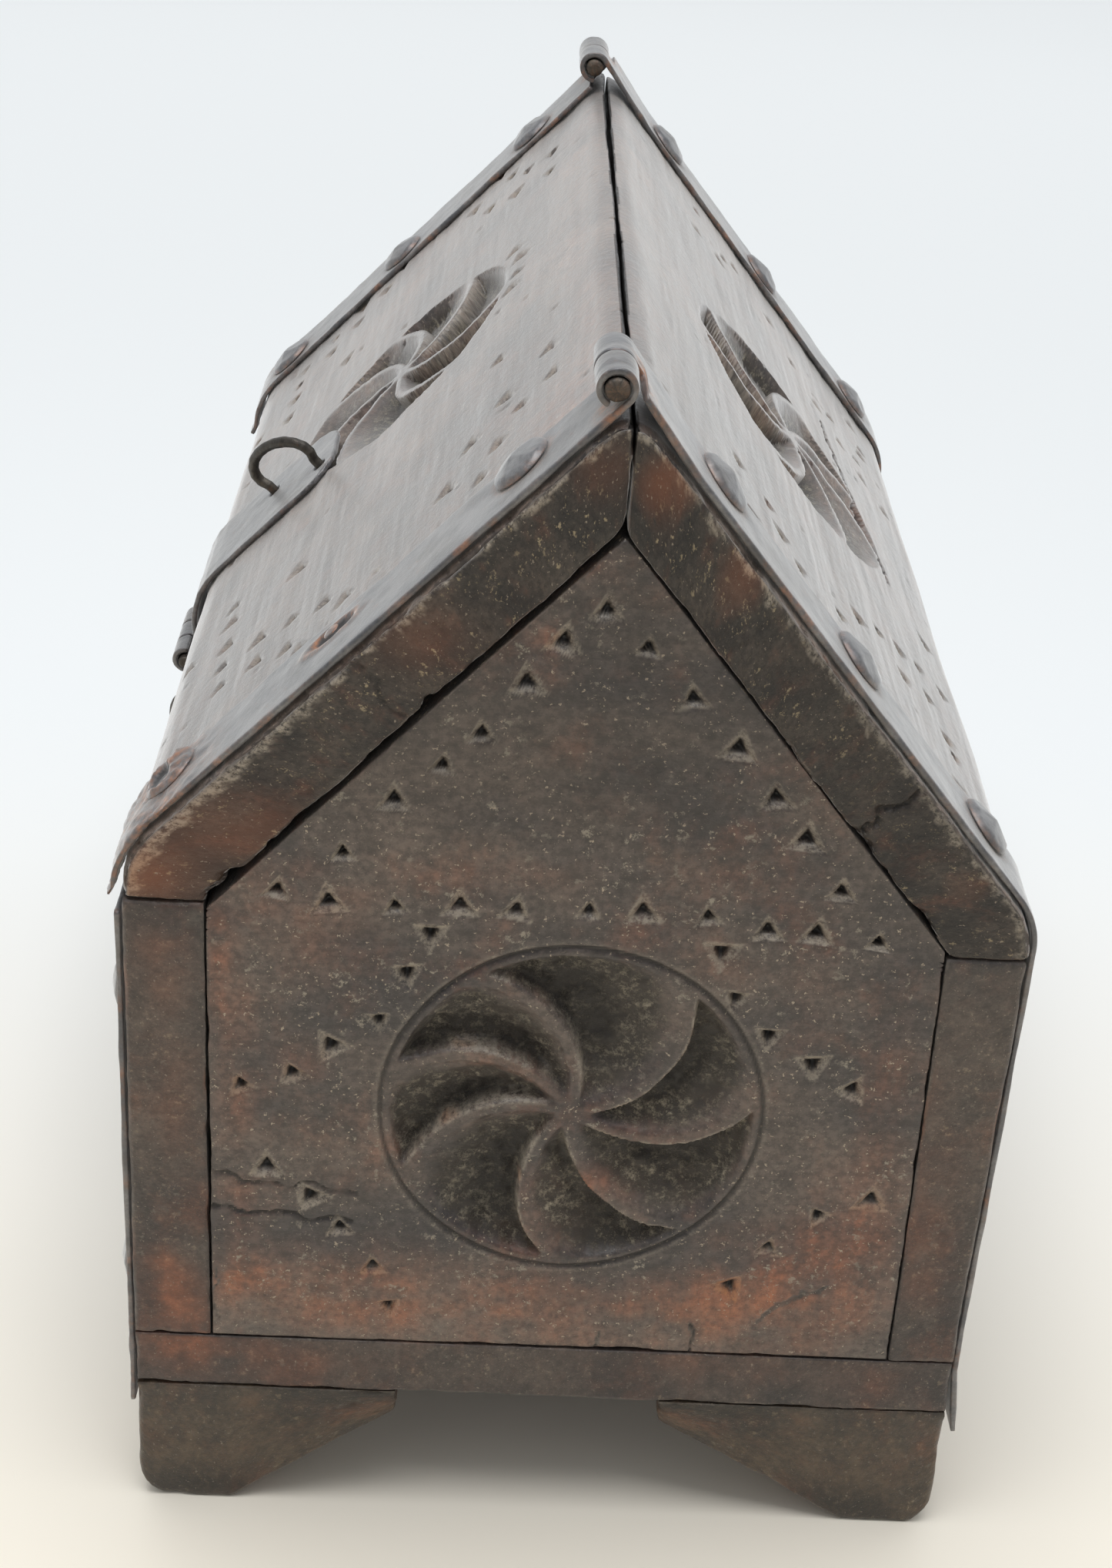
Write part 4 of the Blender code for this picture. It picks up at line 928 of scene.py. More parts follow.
def make_gable_board(name, side, step):
    """The carved end panel. side is 1 at the near end and -1 at the far end."""
    left = -HALF_WIDTH + WALL + SEAM
    width = 2 * -left
    bottom = BASE_TOP + SEAM
    bend = 0.134 - bottom
    peak = roofline(np.linspace(-0.01, 0.02, 400)).max() - bottom
    a = ruled(0.0, (width, step))
    b = ruled(0.0, (bend, step), (peak, step * 1.3))
    c = ruled(0.0, (GABLE, 0.0013))
    seed = 71 if side > 0 else 91

    def shape(points):
        y = left + points[:, 0]
        top = roofline(y) - bottom
        low = np.minimum(points[:, 1], bend)
        high = np.maximum(points[:, 1] - bend, 0) / (peak - bend) * (top - bend)
        x = side * (HALF_LENGTH - GABLE + points[:, 2])
        return np.column_stack((x, y, bottom + low + high))

    def carve(points, out):
        real = shape(points)
        y, z = real[:, 1] * side, real[:, 2]
        flat = np.column_stack((y, z, y * 0 + side))
        face = ramp(out[:, 2], 0.80, 0.98)
        off_y, off_z = y - GABLE_MIDDLE[0], z - GABLE_MIDDLE[1]
        cut, under, edge = rosette(off_y, off_z, GABLE_DISC, GABLE_ARMS, TWIST)
        pits, dark, pale = chips(y, z, GABLE_CHIPS, 0.0062, 0.0020)
        reach = np.hypot(off_y, off_z) + bumps(real, 0.02, seed) * 0.0004
        groove = np.exp(-((reach - GROOVE_REACH) / 0.00042) ** 2)
        lip = np.exp(-((reach - LIP_REACH) / 0.00040) ** 2)
        depth = face * (cut * ROSETTE_DEPTH + pits + groove * 0.0008)
        hollow = face * ramp(cut, 0.10, 0.5)
        brush = rough(flat, (0.010, 0.006, 0.01), seed + 80)
        # Painted shade: the panel darkens towards its top
        painted_shade = ramp(z, 0.145, 0.175) * (0.20 + 0.28 * ramp(rough(flat, 0.0030, seed + 76), 0.0, 1.0))
        # Painted shade in the chips' points, the groove and the deepest hollows of the rosette
        stain_and_shade = face * (dark * 0.95 + groove * 0.75 + ramp(cut, 0.72, 1.0) * 0.6 + painted_shade + 0.05)
        stain_and_shade -= face * warmed(y, z, GABLE_RUBBED) * (0.65 + 0.45 * brush) * (1 - dark)
        # Orange along the rosette's walls: partly wear, partly painted highlight
        stain_and_shade -= face * under * ramp(brush, -0.2, 0.9) * 0.6
        if side > 0:
            lines = ((mm(((-67, 81.5), (-52, 80.2), (-39, 78.9))), 0.8),
                     (mm(((-67, 74.2), (-50, 72.5), (-40, 72.2))), 1.0),
                     (mm(((28.0, 50), (28.3, 43))), 1.0), (mm(((-66.5, 59), (-66.8, 43))), 0.4),
                     (mm(((9.5, 47), (9.5, 43))), 0.7), (mm(((40, 52), (53, 61))), 0.4))
            for number, (line, strength) in enumerate(lines):
                open_share = split(y, z, line, 0.00045, 0.0010, seed + number) * face * strength
                depth += open_share * 0.0009
                stain_and_shade = darkened(stain_and_shade, open_share, 0.9)
        depth += tool_marks(flat, seed, 0) + nicks(flat, seed + 50, 0.0035, 0.2, 0.0003)
        depth += face * ramp(cut, 0.05, 0.4) * rough(flat, 0.0030, seed + 70) * 0.00075
        # Pale crests and walls of the rosette: partly wear, partly painted highlight
        crest = edge * ramp(rough(flat, 0.005, seed + 75), -0.6, 0.3)
        walls = under * 0.6 * ramp(rough(flat, 0.004, seed + 74), -0.2, 0.7)
        wear = (pale + crest * 1.3 + ramp(z, 0.068, 0.050) * 0.2 + lip * 0.35 + walls) * face
        return depth, np.clip(hollow, 0, 1), wear, np.clip(stain_and_shade, -1, 1)

    def radius(points):
        return 0.0003 + 0.0008 * ramp(rough(points, 0.006, seed + 8), 0.0, 1.2)

    def set_grain(real):
        return np.column_stack((real[:, 1], real[:, 2], real[:, 0]))

    stock(name, "gable_right" if side > 0 else "gable_left", wood_gable, a, b, c, radius, shape, carve,
          plain=("a0", "a1", "b0", "c0"), set_grain=set_grain)


WALL_END_RUBBED = ((-72, 50, 8, 8, 0.9), (-76, 58, 4, 6, 0.7), (-74, 100, 5, 14, 0.35), (-76, 128, 5, 9, 0.4),
                   (72, 64, 5, 9, 0.45), (70, 84, 6, 12, 0.35), (66, 110, 5, 10, 0.2))
BASE_END_RUBBED = ((-70, 39, 12, 6, 0.9), (-50, 36, 14, 5, 0.35), (30, 40, 20, 5, 0.3), (64, 38, 8, 6, 0.35))


def make_wall(name, side, node):
    """The front wall stands upright. The back wall leans in a little towards its foot."""
    top = (FRONT_WALL_TOP if side < 0 else BACK_WALL_TOP) - SEAM
    bottom = BASE_TOP + SEAM
    high = top - bottom
    lean = 0.0 if side < 0 else HALF_WIDTH - BACK_FOOT_Y
    inside = side * (HALF_WIDTH - WALL)
    seed = 111 if side < 0 else 131

    def shape(points):
        z = bottom + points[:, 0]
        thick = WALL - lean * (1 - points[:, 0] / high)
        y = inside + side * points[:, 2] / WALL * thick
        return np.column_stack((points[:, 1] - HALF_LENGTH, y, z))

    def carve(points, out):
        cap = ramp(np.abs(out[:, 1]), 0.80, 0.98)
        depth = tool_marks(points, seed, 1) * 1.3 + nicks(points, seed + 50, 0.004, 0.25, 0.0004)
        depth += cap * rough(points, 0.0028, seed + 60) * 0.00014
        real = shape(points)
        cloud = 0.7 + 0.5 * rough(points, 0.006, seed + 4)
        stain_and_shade = -warmed(real[:, 1], real[:, 2], WALL_END_RUBBED) * cap * cloud
        stain_and_shade -= ramp(rough(points, (0.020, 0.05, 0.020), seed + 12), 0.3, 1.1) * 0.6 * (1 - cap)
        zero = np.zeros(len(points))
        return depth, zero, cap * 0.15 * ramp(rough(points, 0.006, seed + 3), 0.2, 0.9), stain_and_shade

    def radius(points):
        inner = ramp(points[:, 2], 0.004, 0.001)
        joint = np.maximum(inner, ramp(points[:, 0], 0.004, 0.001))
        chipped = ramp(rough(points, 0.005, seed + 8), 0.2, 1.1) * 0.0010
        return (0.0011 + 0.0006 * rough(points, 0.008, seed + 8)) * (1 - joint) + (0.0003 + chipped) * joint

    a = ruled(0.0, (high, 0.0011))
    b = ruled(0.0, (0.004, 0.0008), (2 * HALF_LENGTH - 0.005, 0.0016), (2 * HALF_LENGTH, 0.0007))
    c = ruled(0.0, (WALL, 0.0009))
    stock(name, node, wood_wall, a, b, c, radius, shape, carve, plain=("c0",))


def make_base_board():
    wide = HALF_WIDTH + BACK_FOOT_Y
    high = BASE_TOP - FOOT_HEIGHT

    def shape(points):
        x, y = points[:, 1] - HALF_LENGTH, points[:, 0] - HALF_WIDTH
        return np.column_stack((x, y, FOOT_HEIGHT + points[:, 2]))

    def carve(points, out):
        cap = ramp(np.abs(out[:, 1]), 0.80, 0.98)
        depth = tool_marks(points, 151, 1) * 1.2 + cap * rough(points, 0.0028, 160) * 0.00014
        real = shape(points)
        stain_and_shade = -warmed(real[:, 1], real[:, 2], BASE_END_RUBBED) * cap * (0.7 + 0.5 * rough(points, 0.006, 162))
        zero = np.zeros(len(points))
        return depth, zero, zero, stain_and_shade

    def radius(points):
        joint = np.maximum(ramp(points[:, 2], 0.003, 0.001), ramp(points[:, 2], high - 0.003, high - 0.001))
        chipped = ramp(rough(points, 0.005, 159), 0.2, 1.1) * 0.0008
        return (0.0009 + 0.0005 * rough(points, 0.007, 158)) * (1 - joint) + (0.0003 + chipped) * joint

    a = ruled(0.0, (wide, 0.0009))
    b = ruled(0.0, (0.004, 0.0008), (2 * HALF_LENGTH - 0.005, 0.0018), (2 * HALF_LENGTH, 0.0007))
    c = ruled(0.0, (high, 0.0008))
    stock("bottom_board", "base_board", wood_wall, a, b, c, radius, shape, carve, plain=("c0", "c1"))


def make_foot_block(name, end, side, node):
    """A bracket foot, worn round, cut sloping on both inner faces."""
    outer_y = HALF_WIDTH if side < 0 else BACK_FOOT_Y
    wide = 0.052 if side < 0 else 0.058
    long = 0.052
    high = FOOT_HEIGHT - SEAM
    sole_from, sole_to, low = 0.0055, 0.0185, 0.025
    seed = 170 + (1 if end > 0 else 2) + (4 if side < 0 else 8)

    def under(in_y, in_x):
        """The height of the foot's underside."""
        slope_y = np.clip((in_y - sole_to) / (wide - sole_to), 0, 1) * low
        slope_x = np.clip((in_x - sole_to) / (long - sole_to), 0, 1) * low
        corner = 0.0055 * np.clip(1 - in_y / sole_from, 0, 1) ** 2
        return np.maximum(np.maximum(slope_y, slope_x), corner)

    def shape(points):
        in_y, in_x = wide - points[:, 0], long - points[:, 1]
        floor_z = under(in_y, in_x)
        z = floor_z + (high - floor_z) * points[:, 2] / high
        return np.column_stack((end * (HALF_LENGTH - in_x), side * (outer_y - in_y), z))

    def carve(points, out):
        zero = np.zeros(len(points))
        depth = rough(points, 0.009, seed) * 0.0003 + nicks(points, seed + 5, 0.004, 0.3, 0.0005)
        return depth, zero, zero, zero

    def radius(points):
        joint = ramp(points[:, 2], high - 0.004, high - 0.001)
        return (0.0014 + 0.0008 * rough(points, 0.008, seed + 8)) * (1 - joint) + 0.0003 * joint

    a = ruled(0.0, (wide, 0.0012))
    b = ruled(0.0, (long, 0.0012))
    c = ruled(0.0, (high, 0.0010))
    stock(name, node, wood_foot, a, b, c, radius, shape, carve, plain=("c1",))


make_roof_board("carved_lid", -1, "lid_board", "lid")
make_roof_board("carved_back_roof", 1, "back_roof_board", "box")
make_gable_board("carved_gable_near", 1, 0.00047)
make_gable_board("carved_gable_far", -1, 0.00062)
make_wall("worn_front_wall", -1, "front_wall")
make_wall("worn_back_wall", 1, "back_wall")
make_base_board()
for end_name, end in (("right", 1), ("left", -1)):
    make_foot_block("worn_foot_front_" + end_name, end, -1, "foot_front_" + end_name)
    make_foot_block("worn_foot_back_" + end_name, end, 1, "foot_back_" + end_name)


# Iron


def end_x(end, inset):
    return end * (HALF_LENGTH - inset)


def strip_shape(path, edges, facing, lift):
    """Sets flat strip along a path. edges gives its two edges along the ridge at each distance."""
    def shape(points):
        distance = np.clip(points[:, 0], 0, path.length)
        low, high = edges(distance)
        width = points[:, 1] / STRAP_WIDTH
        height = facing * (points[:, 2] - STRIP / 2 + lift(points))
        yz = path.at(distance) + path.side(distance) * height[:, None]
        return np.column_stack((low + (high - low) * width, yz))
    return shape


def eye_arc(start, centre, radius, turn):
    toward = centre - start
    heading = math.atan2(toward.y, toward.x) - math.asin(radius / toward.length)
    return arc(centre, radius, math.degrees(heading) - 90.0, turn, 60)


def hammered(points, seed):
    return rough(points, 0.007, seed, 2) * 0.00013 + rough(points, 0.0022, seed + 5, 2) * 0.00004


def make_strap(name, node, end, path, eye_from, body, seed, facing=1, outer_half=True, corroded=0.0,
               lost_nail=None, nails=()):
    """One iron strap from its foot up to its hinge eye, which is only half as wide.

    facing is -1 where the path's left side is the wood's side. corroded is how far the foot has
    rusted into flakes. lost_nail is where a nail has rusted out.
    """
    outer, inner = end_x(end, STRAP_INSET), end_x(end, STRAP_INSET + STRAP_WIDTH)
    middle = (outer + inner) / 2
    gap = end * 0.0002

    def edges(distance):
        narrow = ramp(distance, eye_from, eye_from + 0.0006) if eye_from else distance * 0
        run = np.column_stack((distance, distance * 0, distance * 0))
        low = inner + end * (1 - narrow) * (0.0004 * rough(run, 0.014, seed, 2) - 0.0001)
        high = outer + end * (0.00025 * rough(run, 0.011, seed + 1, 2) - 0.0003) * (1 - narrow)
        if outer_half:
            low = low + (middle + gap - low) * narrow
        else:
            high = high + (middle - gap - high) * narrow
        return low, high

    def carve(points, out):
        face = ramp(out[:, 2], 0.8, 0.98)
        foot = ramp(points[:, 0], 0.040, 0.022) * corroded
        flat = points * (1, 1, 0.3)
        flakes = np.round(rough(flat, (0.007, 0.004, 0.004), seed + 30) * 2.6) / 2.6
        eaten = (flakes * 0.00042 + rough(flat, 0.0017, seed + 31) * 0.00016) * foot + hammered(points, seed)
        to_edge = np.minimum(points[:, 1], STRAP_WIDTH - points[:, 1])
        cloud = rough(flat, 0.006, seed + 33)
        stain_and_shade = foot * (0.55 + 0.4 * cloud + 0.25 * flakes)
        stain_and_shade = np.maximum(stain_and_shade, ramp(to_edge, 0.0018, 0.0004) * ramp(cloud, 0.0, 0.9) * 0.55)
        for mark in nails:
            near = np.hypot(points[:, 0] - mark, points[:, 1] - NAIL_ACROSS)
            stain_and_shade = np.maximum(stain_and_shade, 0.45 * np.exp(-((near - 0.0066) / 0.0007) ** 2))
        if eye_from:
            drip = np.hypot(points[:, 0] - eye_from - 0.0005, (points[:, 1] - 0.0150) / 1.6)
            stain_and_shade = np.maximum(stain_and_shade, ramp(drip, 0.0056, 0.0015))
        if lost_nail is not None:
            run = (points[:, 0] - lost_nail) / 2.1
            near = np.hypot(run, points[:, 1] - NAIL_ACROSS) + 0.0004 * bumps(points, 0.002, 3)
            pit = ramp(near, 0.0026, 0.0018) * face
            eaten = eaten + pit * 0.00095 - np.exp(-((near - 0.0032) / 0.0006) ** 2) * 0.00030 * face
            stain_and_shade = np.maximum(stain_and_shade, ramp(near, 0.0048, 0.0020))
            # Painted shade: one side of the rusted-out hole is near black
            stain_and_shade = np.where((pit > 0.3) & (points[:, 1] < 0.0063), -0.9, stain_and_shade)
        zero = np.zeros(len(points))
        return eaten, zero, zero, np.clip(stain_and_shade, -1, 1)

    def lift(points):
        curl = ramp(points[:, 0], 0.012, 0.0) * corroded * 0.0008
        eye = 0.0
        if eye_from and not outer_half:
            eye = 0.00015 * ramp(points[:, 0], eye_from + 0.006, eye_from + 0.010)
        return bumps(points, 0.03, seed + 70) * 0.00010 + curl + eye

    if eye_from:
        a = ruled(0.0, (eye_from, 0.0007), (path.length, 0.0004))
    else:
        a = ruled(0.0, (path.length, 0.0008))
    b = ruled(0.0, (STRAP_WIDTH, 0.0007))
    c = ruled(0.0, (STRIP, STRIP / 3))
    shape = strip_shape(path, edges, facing, lift)
    stock(name, node, iron_strap, a, b, c, 0.0004, shape, carve, grain=0, body=body, slot="iron")


def lid_strap_path():
    offset = STRAP_OFFSET
    tip = Vector((-HALF_WIDTH - offset - 0.001, FRONT_WALL_TOP - 0.001))
    plane = Vector(RIDGE_SPOT + FRONT_OUT * offset)
    corner = meet(plane, Vector(FRONT_DOWN), Vector((-HALF_WIDTH - offset, 0)), Vector((0, 1)))
    bend = fillet(plane, corner, corner + Vector((0, -1)), FRONT_EAVE_ROUND + offset)
    rise = plane + Vector(FRONT_DOWN) * EYE_RISE
    eye = eye_arc(rise, PIN_AXIS, EYE_RADIUS, 292.0)
    body = Path([tip] + bend[::-1] + [rise, eye[0]])
    return Path([tip] + bend[::-1] + [rise] + eye), body.length - EYE_CLEARANCE


def back_strap_path():
    offset = STRAP_OFFSET
    top = Vector((HALF_WIDTH, BACK_WALL_TOP))
    wall_down = (Vector((BACK_FOOT_Y, BASE_TOP)) - top).normalized()
    wall_out = Vector((-wall_down.y, wall_down.x))
    wall_start = top + wall_out * offset
    plane = Vector(RIDGE_SPOT + BACK_OUT * offset)
    corner = meet(plane, Vector(BACK_DOWN), wall_start, wall_down)
    wall_end = meet(wall_start, wall_down, Vector((0, STRAP_FOOT)), Vector((1, 0)))
    spring = wall_end - wall_down * 0.016
    bend = fillet(plane, corner, corner + wall_down, BACK_EAVE_ROUND + offset)
    rise = plane + Vector(BACK_DOWN) * EYE_RISE
    eye = eye_arc(rise, PIN_AXIS, EYE_RADIUS, 235.0)
    straight = [wall_end + wall_out * 0.002, spring] + bend[::-1] + [rise]
    body = Path(straight + [eye[0]])
    return Path(straight + eye), body.length - EYE_CLEARANCE


def front_strap_path():
    y = -HALF_WIDTH - STRAP_OFFSET
    return Path([Vector((y, STRAP_FOOT)), Vector((y, FRONT_WALL_TOP - 0.0035))])


def finish_piece(name, node, points, faces, body, material, marks, place, sharp=50.0):
    """Makes an iron piece, with its marks of wear for the material."""
    mesh = bpy.data.meshes.new(name)
    mesh.from_pydata((points + np.array((0, SHIFT, 0))).tolist(), [], faces)
    mesh.shade_smooth()
    mesh.set_sharp_from_angle(angle=math.radians(sharp))
    stain_and_shade = np.asarray(marks["stain_and_shade"], float)
    # On iron the negative stain is painted shade in holes, kept in the rubbed mark
    kept = {"wear": marks["wear"], "stain_and_shade": np.clip(stain_and_shade, 0, 1), "rubbed": np.clip(-stain_and_shade, 0, 1)}
    for kind, values in kept.items():
        mesh.attributes.new(kind, "FLOAT", "POINT").data.foreach_set("value", np.asarray(values, np.float32))
    flat = np.asarray(place, np.float32).ravel()
    mesh.attributes.new("stock", "FLOAT_VECTOR", "POINT").data.foreach_set("vector", flat)
    set_piece(name, mesh, node, body, material)


def ring_faces(rings, steps, start=0):
    faces = []
    for ring in range(rings - 1):
        first = start + ring * steps
        for number in range(steps):
            following = (number + 1) % steps
            faces.append((first + number, first + steps + number, first + steps + following, first + following))
    return faces


def forged_nail(name, node, place, out, up, body, seed, state="whole"):
    """An uneven hammered dome head. A nail may also be eaten by rust, or its head lost."""
    rings, steps = 16, 48
    radius, height = 0.0062, 0.0026
    angle = np.arange(steps) * math.tau / steps
    shares = np.concatenate((np.sin(np.linspace(0, math.pi / 2, rings)[1:]), (0.975,)))
    lobes = np.column_stack((np.cos(angle), np.sin(angle), np.full(steps, seed * 0.37)))
    uneven = 1 + 0.05 * np.clip(rough(lobes, 0.9, seed, 2), -1, 0.4)
    reach = np.outer(shares, uneven) * radius
    rise = np.repeat(height * np.clip(1 - shares**2.4, 0, 1) ** 0.72, steps)
    rise[-steps:] = -0.0002
    points = np.column_stack(((reach * np.cos(angle)).ravel(), (reach * np.sin(angle)).ravel(), rise))
    points = np.vstack(((0.0, 0.0, height), points))
    # Flats left by the hammer
    for blow in range(5):
        way = seed * 1.7 + blow * 1.4
        slant = points[:, 0] * math.cos(way) + points[:, 1] * math.sin(way)
        flat = height * (0.94 + 0.03 * math.sin(seed + blow * 2.1)) - slant * 0.28
        over = points[:, 2] > flat
        points[over, 2] = flat[over] + (points[over, 2] - flat[over]) * 0.15
    top = ramp(points[:, 2], 0.0001, 0.0008)
    points[:, 2] += rough(points + seed * 0.013, 0.0022, seed, 2) * 0.00010 * top
    edge = ramp(np.hypot(points[:, 0], points[:, 1]) / radius, 0.86, 1.0)
    stain_and_shade = edge * 0.35
    if state == "eaten":
        crater = ramp(np.hypot(points[:, 0] - 0.0012, points[:, 1] + 0.0014), 0.0036, 0.0018)
        crust = np.round(rough(points, 0.0030, seed, 3) * 2.5) / 2.5
        points[:, 2] += (crust * 0.00050 - 0.0002) * top
        points[:, 2] = points[:, 2] * (1 - 0.9 * crater)
        stain_and_shade = 0.55 + 0.3 * crust
        # Painted shade: the crater's middle is near black
        stain_and_shade = np.where(crater > 0.6, -0.8, stain_and_shade)
    if state == "lost":
        points *= (0.27, 0.27, 0.22)
        stain_and_shade = edge * 0 + 0.9
    faces = [(0, 1 + number, 1 + (number + 1) % steps) for number in range(steps)]
    faces += ring_faces(rings, steps, 1)
    faces.append(tuple(1 + (rings - 1) * steps + number for number in range(steps))[::-1])
    side = np.cross(up, out)
    real = np.array(place) + np.outer(points[:, 0], side) + np.outer(points[:, 1], up)
    real += np.outer(points[:, 2], out)
    marks = {"wear": edge, "stain_and_shade": stain_and_shade}
    finish_piece(name, node, real, faces, body, iron_nail, marks, points + seed * 0.031, 60.0)


def slope_spot(down, out, drop, height):
    return RIDGE_SPOT + down * drop + out * height


FRONT_RUN = (FRONT_EAVE - RIDGE).length
BACK_RUN = (BACK_EAVE - RIDGE).length
FIRST_NAIL = EYE_RISE + 0.0063 + 0.0007
LID_NAILS = (FIRST_NAIL, FRONT_RUN * 0.564, FRONT_RUN * 0.898)
BACK_NAILS = (FIRST_NAIL, BACK_RUN * 0.537, BACK_RUN * 0.878)
FRONT_WALL_NAILS = (0.738, 0.09)
BACK_WALL_NAILS = (0.776, 0.042)
NAIL_SEAT = 2 * SEAM + STRIP


def path_distance(path, spot):
    """How far along a path the nearest place to a spot is."""
    dense = np.linspace(0, path.length, 2000)
    return dense[np.argmin(np.linalg.norm(path.at(dense) - np.array(spot), axis=1))]


def make_end_hardware(end, end_name, seed):
    """The straps and nails at one end of the box. end is 1 at the near end and -1 at the far end."""
    near = end > 0
    x = end_x(end, NAIL_INSET)
    path, eye_from = lid_strap_path()
    marks = [path_distance(path, slope_spot(FRONT_DOWN, FRONT_OUT, drop, STRAP_OFFSET)) for drop in LID_NAILS]
    make_strap("forged_lid_strap_" + end_name, "lid_strap_" + end_name, end, path, eye_from, "lid", seed,
               corroded=1.0 if near else 0.35, lost_nail=marks[1] if near else None,
               nails=marks[:1] + marks[2:])
    path, eye_from = back_strap_path()
    marks = [path_distance(path, slope_spot(BACK_DOWN, BACK_OUT, drop, STRAP_OFFSET)) for drop in BACK_NAILS]
    make_strap("forged_back_strap_" + end_name, "back_strap_" + end_name, end, path, eye_from, "box", seed + 7,
               facing=-1, outer_half=False, nails=marks)
    make_strap("forged_front_strap_" + end_name, "front_strap_" + end_name, end, front_strap_path(), 0.0, "box",
               seed + 14, corroded=0.3)
    nails = []
    for kind, drops, down, out, body in (("lid_nail", LID_NAILS, FRONT_DOWN, FRONT_OUT, "lid"),
                                         ("roof_nail", BACK_NAILS, BACK_DOWN, BACK_OUT, "box")):
        for number, drop in enumerate(drops, 1):
            spot = (x, *slope_spot(down, out, drop, NAIL_SEAT))
            nails.append((kind, number, spot, (0, *out), (0, *-down), body))
    for number, share in enumerate(FRONT_WALL_NAILS, 1):
        z = BASE_TOP + (FRONT_WALL_TOP - BASE_TOP) * share
        nails.append(("front_nail", number, (x, -HALF_WIDTH - NAIL_SEAT, z), (0, -1.0, 0), (0, 0, 1.0), "box"))
    for number, share in enumerate(BACK_WALL_NAILS, 1):
        z = BASE_TOP + (BACK_WALL_TOP - BASE_TOP) * share
        out = Vector((0, BACK_WALL_TOP - BASE_TOP, BACK_FOOT_Y - HALF_WIDTH)).normalized()
        up = Vector((0, HALF_WIDTH - BACK_FOOT_Y, BACK_WALL_TOP - BASE_TOP)).normalized()
        spot = Vector((x, HALF_WIDTH - (HALF_WIDTH - BACK_FOOT_Y) * (1 - share), z)) + out * NAIL_SEAT
        nails.append(("back_nail", number, tuple(spot), tuple(out), tuple(up), "box"))
    states = {("lid_nail", 2): "lost", ("lid_nail", 3): "eaten"} if near else {}
    for count, (kind, number, spot, out, up, body) in enumerate(nails):
        node = kind + "_" + end_name + "_" + str(number)
        forged_nail("forged_" + node, node, spot, np.array(out), np.array(up), body, seed + 20 + count,
                    states.get((kind, number), "whole"))


make_end_hardware(1, "right", 201)
make_end_hardware(-1, "left", 301)


def rod(name, node, centres, radius, body, material, seed, steps=20):
    """A round, slightly uneven rod through points in space, with domed ends."""
    line = np.array([tuple(centre) for centre in centres], float)
    ahead = np.gradient(line, axis=0)
    ahead /= np.linalg.norm(ahead, axis=1, keepdims=True)
    normal = np.cross(ahead[0], (0.3, 0.5, 0.81))
    run = np.concatenate(([0], np.cumsum(np.linalg.norm(np.diff(line, axis=0), axis=1))))
    past = np.minimum(run, run[-1] - run) / radius
    swell = np.where(past < 0.45, np.sqrt(np.clip(1 - (1 - past / 0.45) ** 2, 0.25, 1)), 1.0)
    angle = np.arange(steps) * math.tau / steps
    points, place = [], []
    for number, (spot, way) in enumerate(zip(line, ahead)):
        normal = normal - way * normal.dot(way)
        normal /= np.linalg.norm(normal)
        other = np.cross(way, normal)
        around = np.column_stack((np.cos(angle) * 0.004, np.sin(angle) * 0.004, np.full(steps, run[number])))
        reach = radius * swell[number] * (1 + 0.05 * np.clip(rough(around, 0.004, seed, 2), -1, 0.6))
        points.append(spot + np.outer(reach * np.cos(angle), normal) + np.outer(reach * np.sin(angle), other))
        place.append(around)
    faces = [tuple(range(steps)), tuple((len(line) - 1) * steps + step for step in range(steps))[::-1]]
    faces += [face[::-1] for face in ring_faces(len(line), steps)]
    faces = [face[::-1] for face in faces]
    wear = np.repeat(ramp(past, 0.6, 0.2), steps)
    marks = {"wear": wear, "stain_and_shade": wear * 0.15}
    finish_piece(name, node, np.vstack(points), faces, body, material, marks, np.vstack(place))


def make_hinge_pin(end, end_name):
    start = end_x(end, STRAP_INSET - 0.0011)
    stop = end_x(end, STRAP_INSET + STRAP_WIDTH + 0.0011)
    near_tips = np.array((0.0, 0.0001, 0.0003, 0.0006, 0.0010))
    marks = list(start - end * near_tips) + list(np.linspace(start - end * 0.0018, stop + end * 0.0018, 24))
    marks += list(stop + end * near_tips[::-1])
    rod("forged_pin_" + end_name, "hinge_pin_" + end_name, [(x, *PIN_AXIS) for x in marks], PIN_RADIUS, "box",
        iron_wire, 401 + end)


make_hinge_pin(1, "right")
make_hinge_pin(-1, "left")


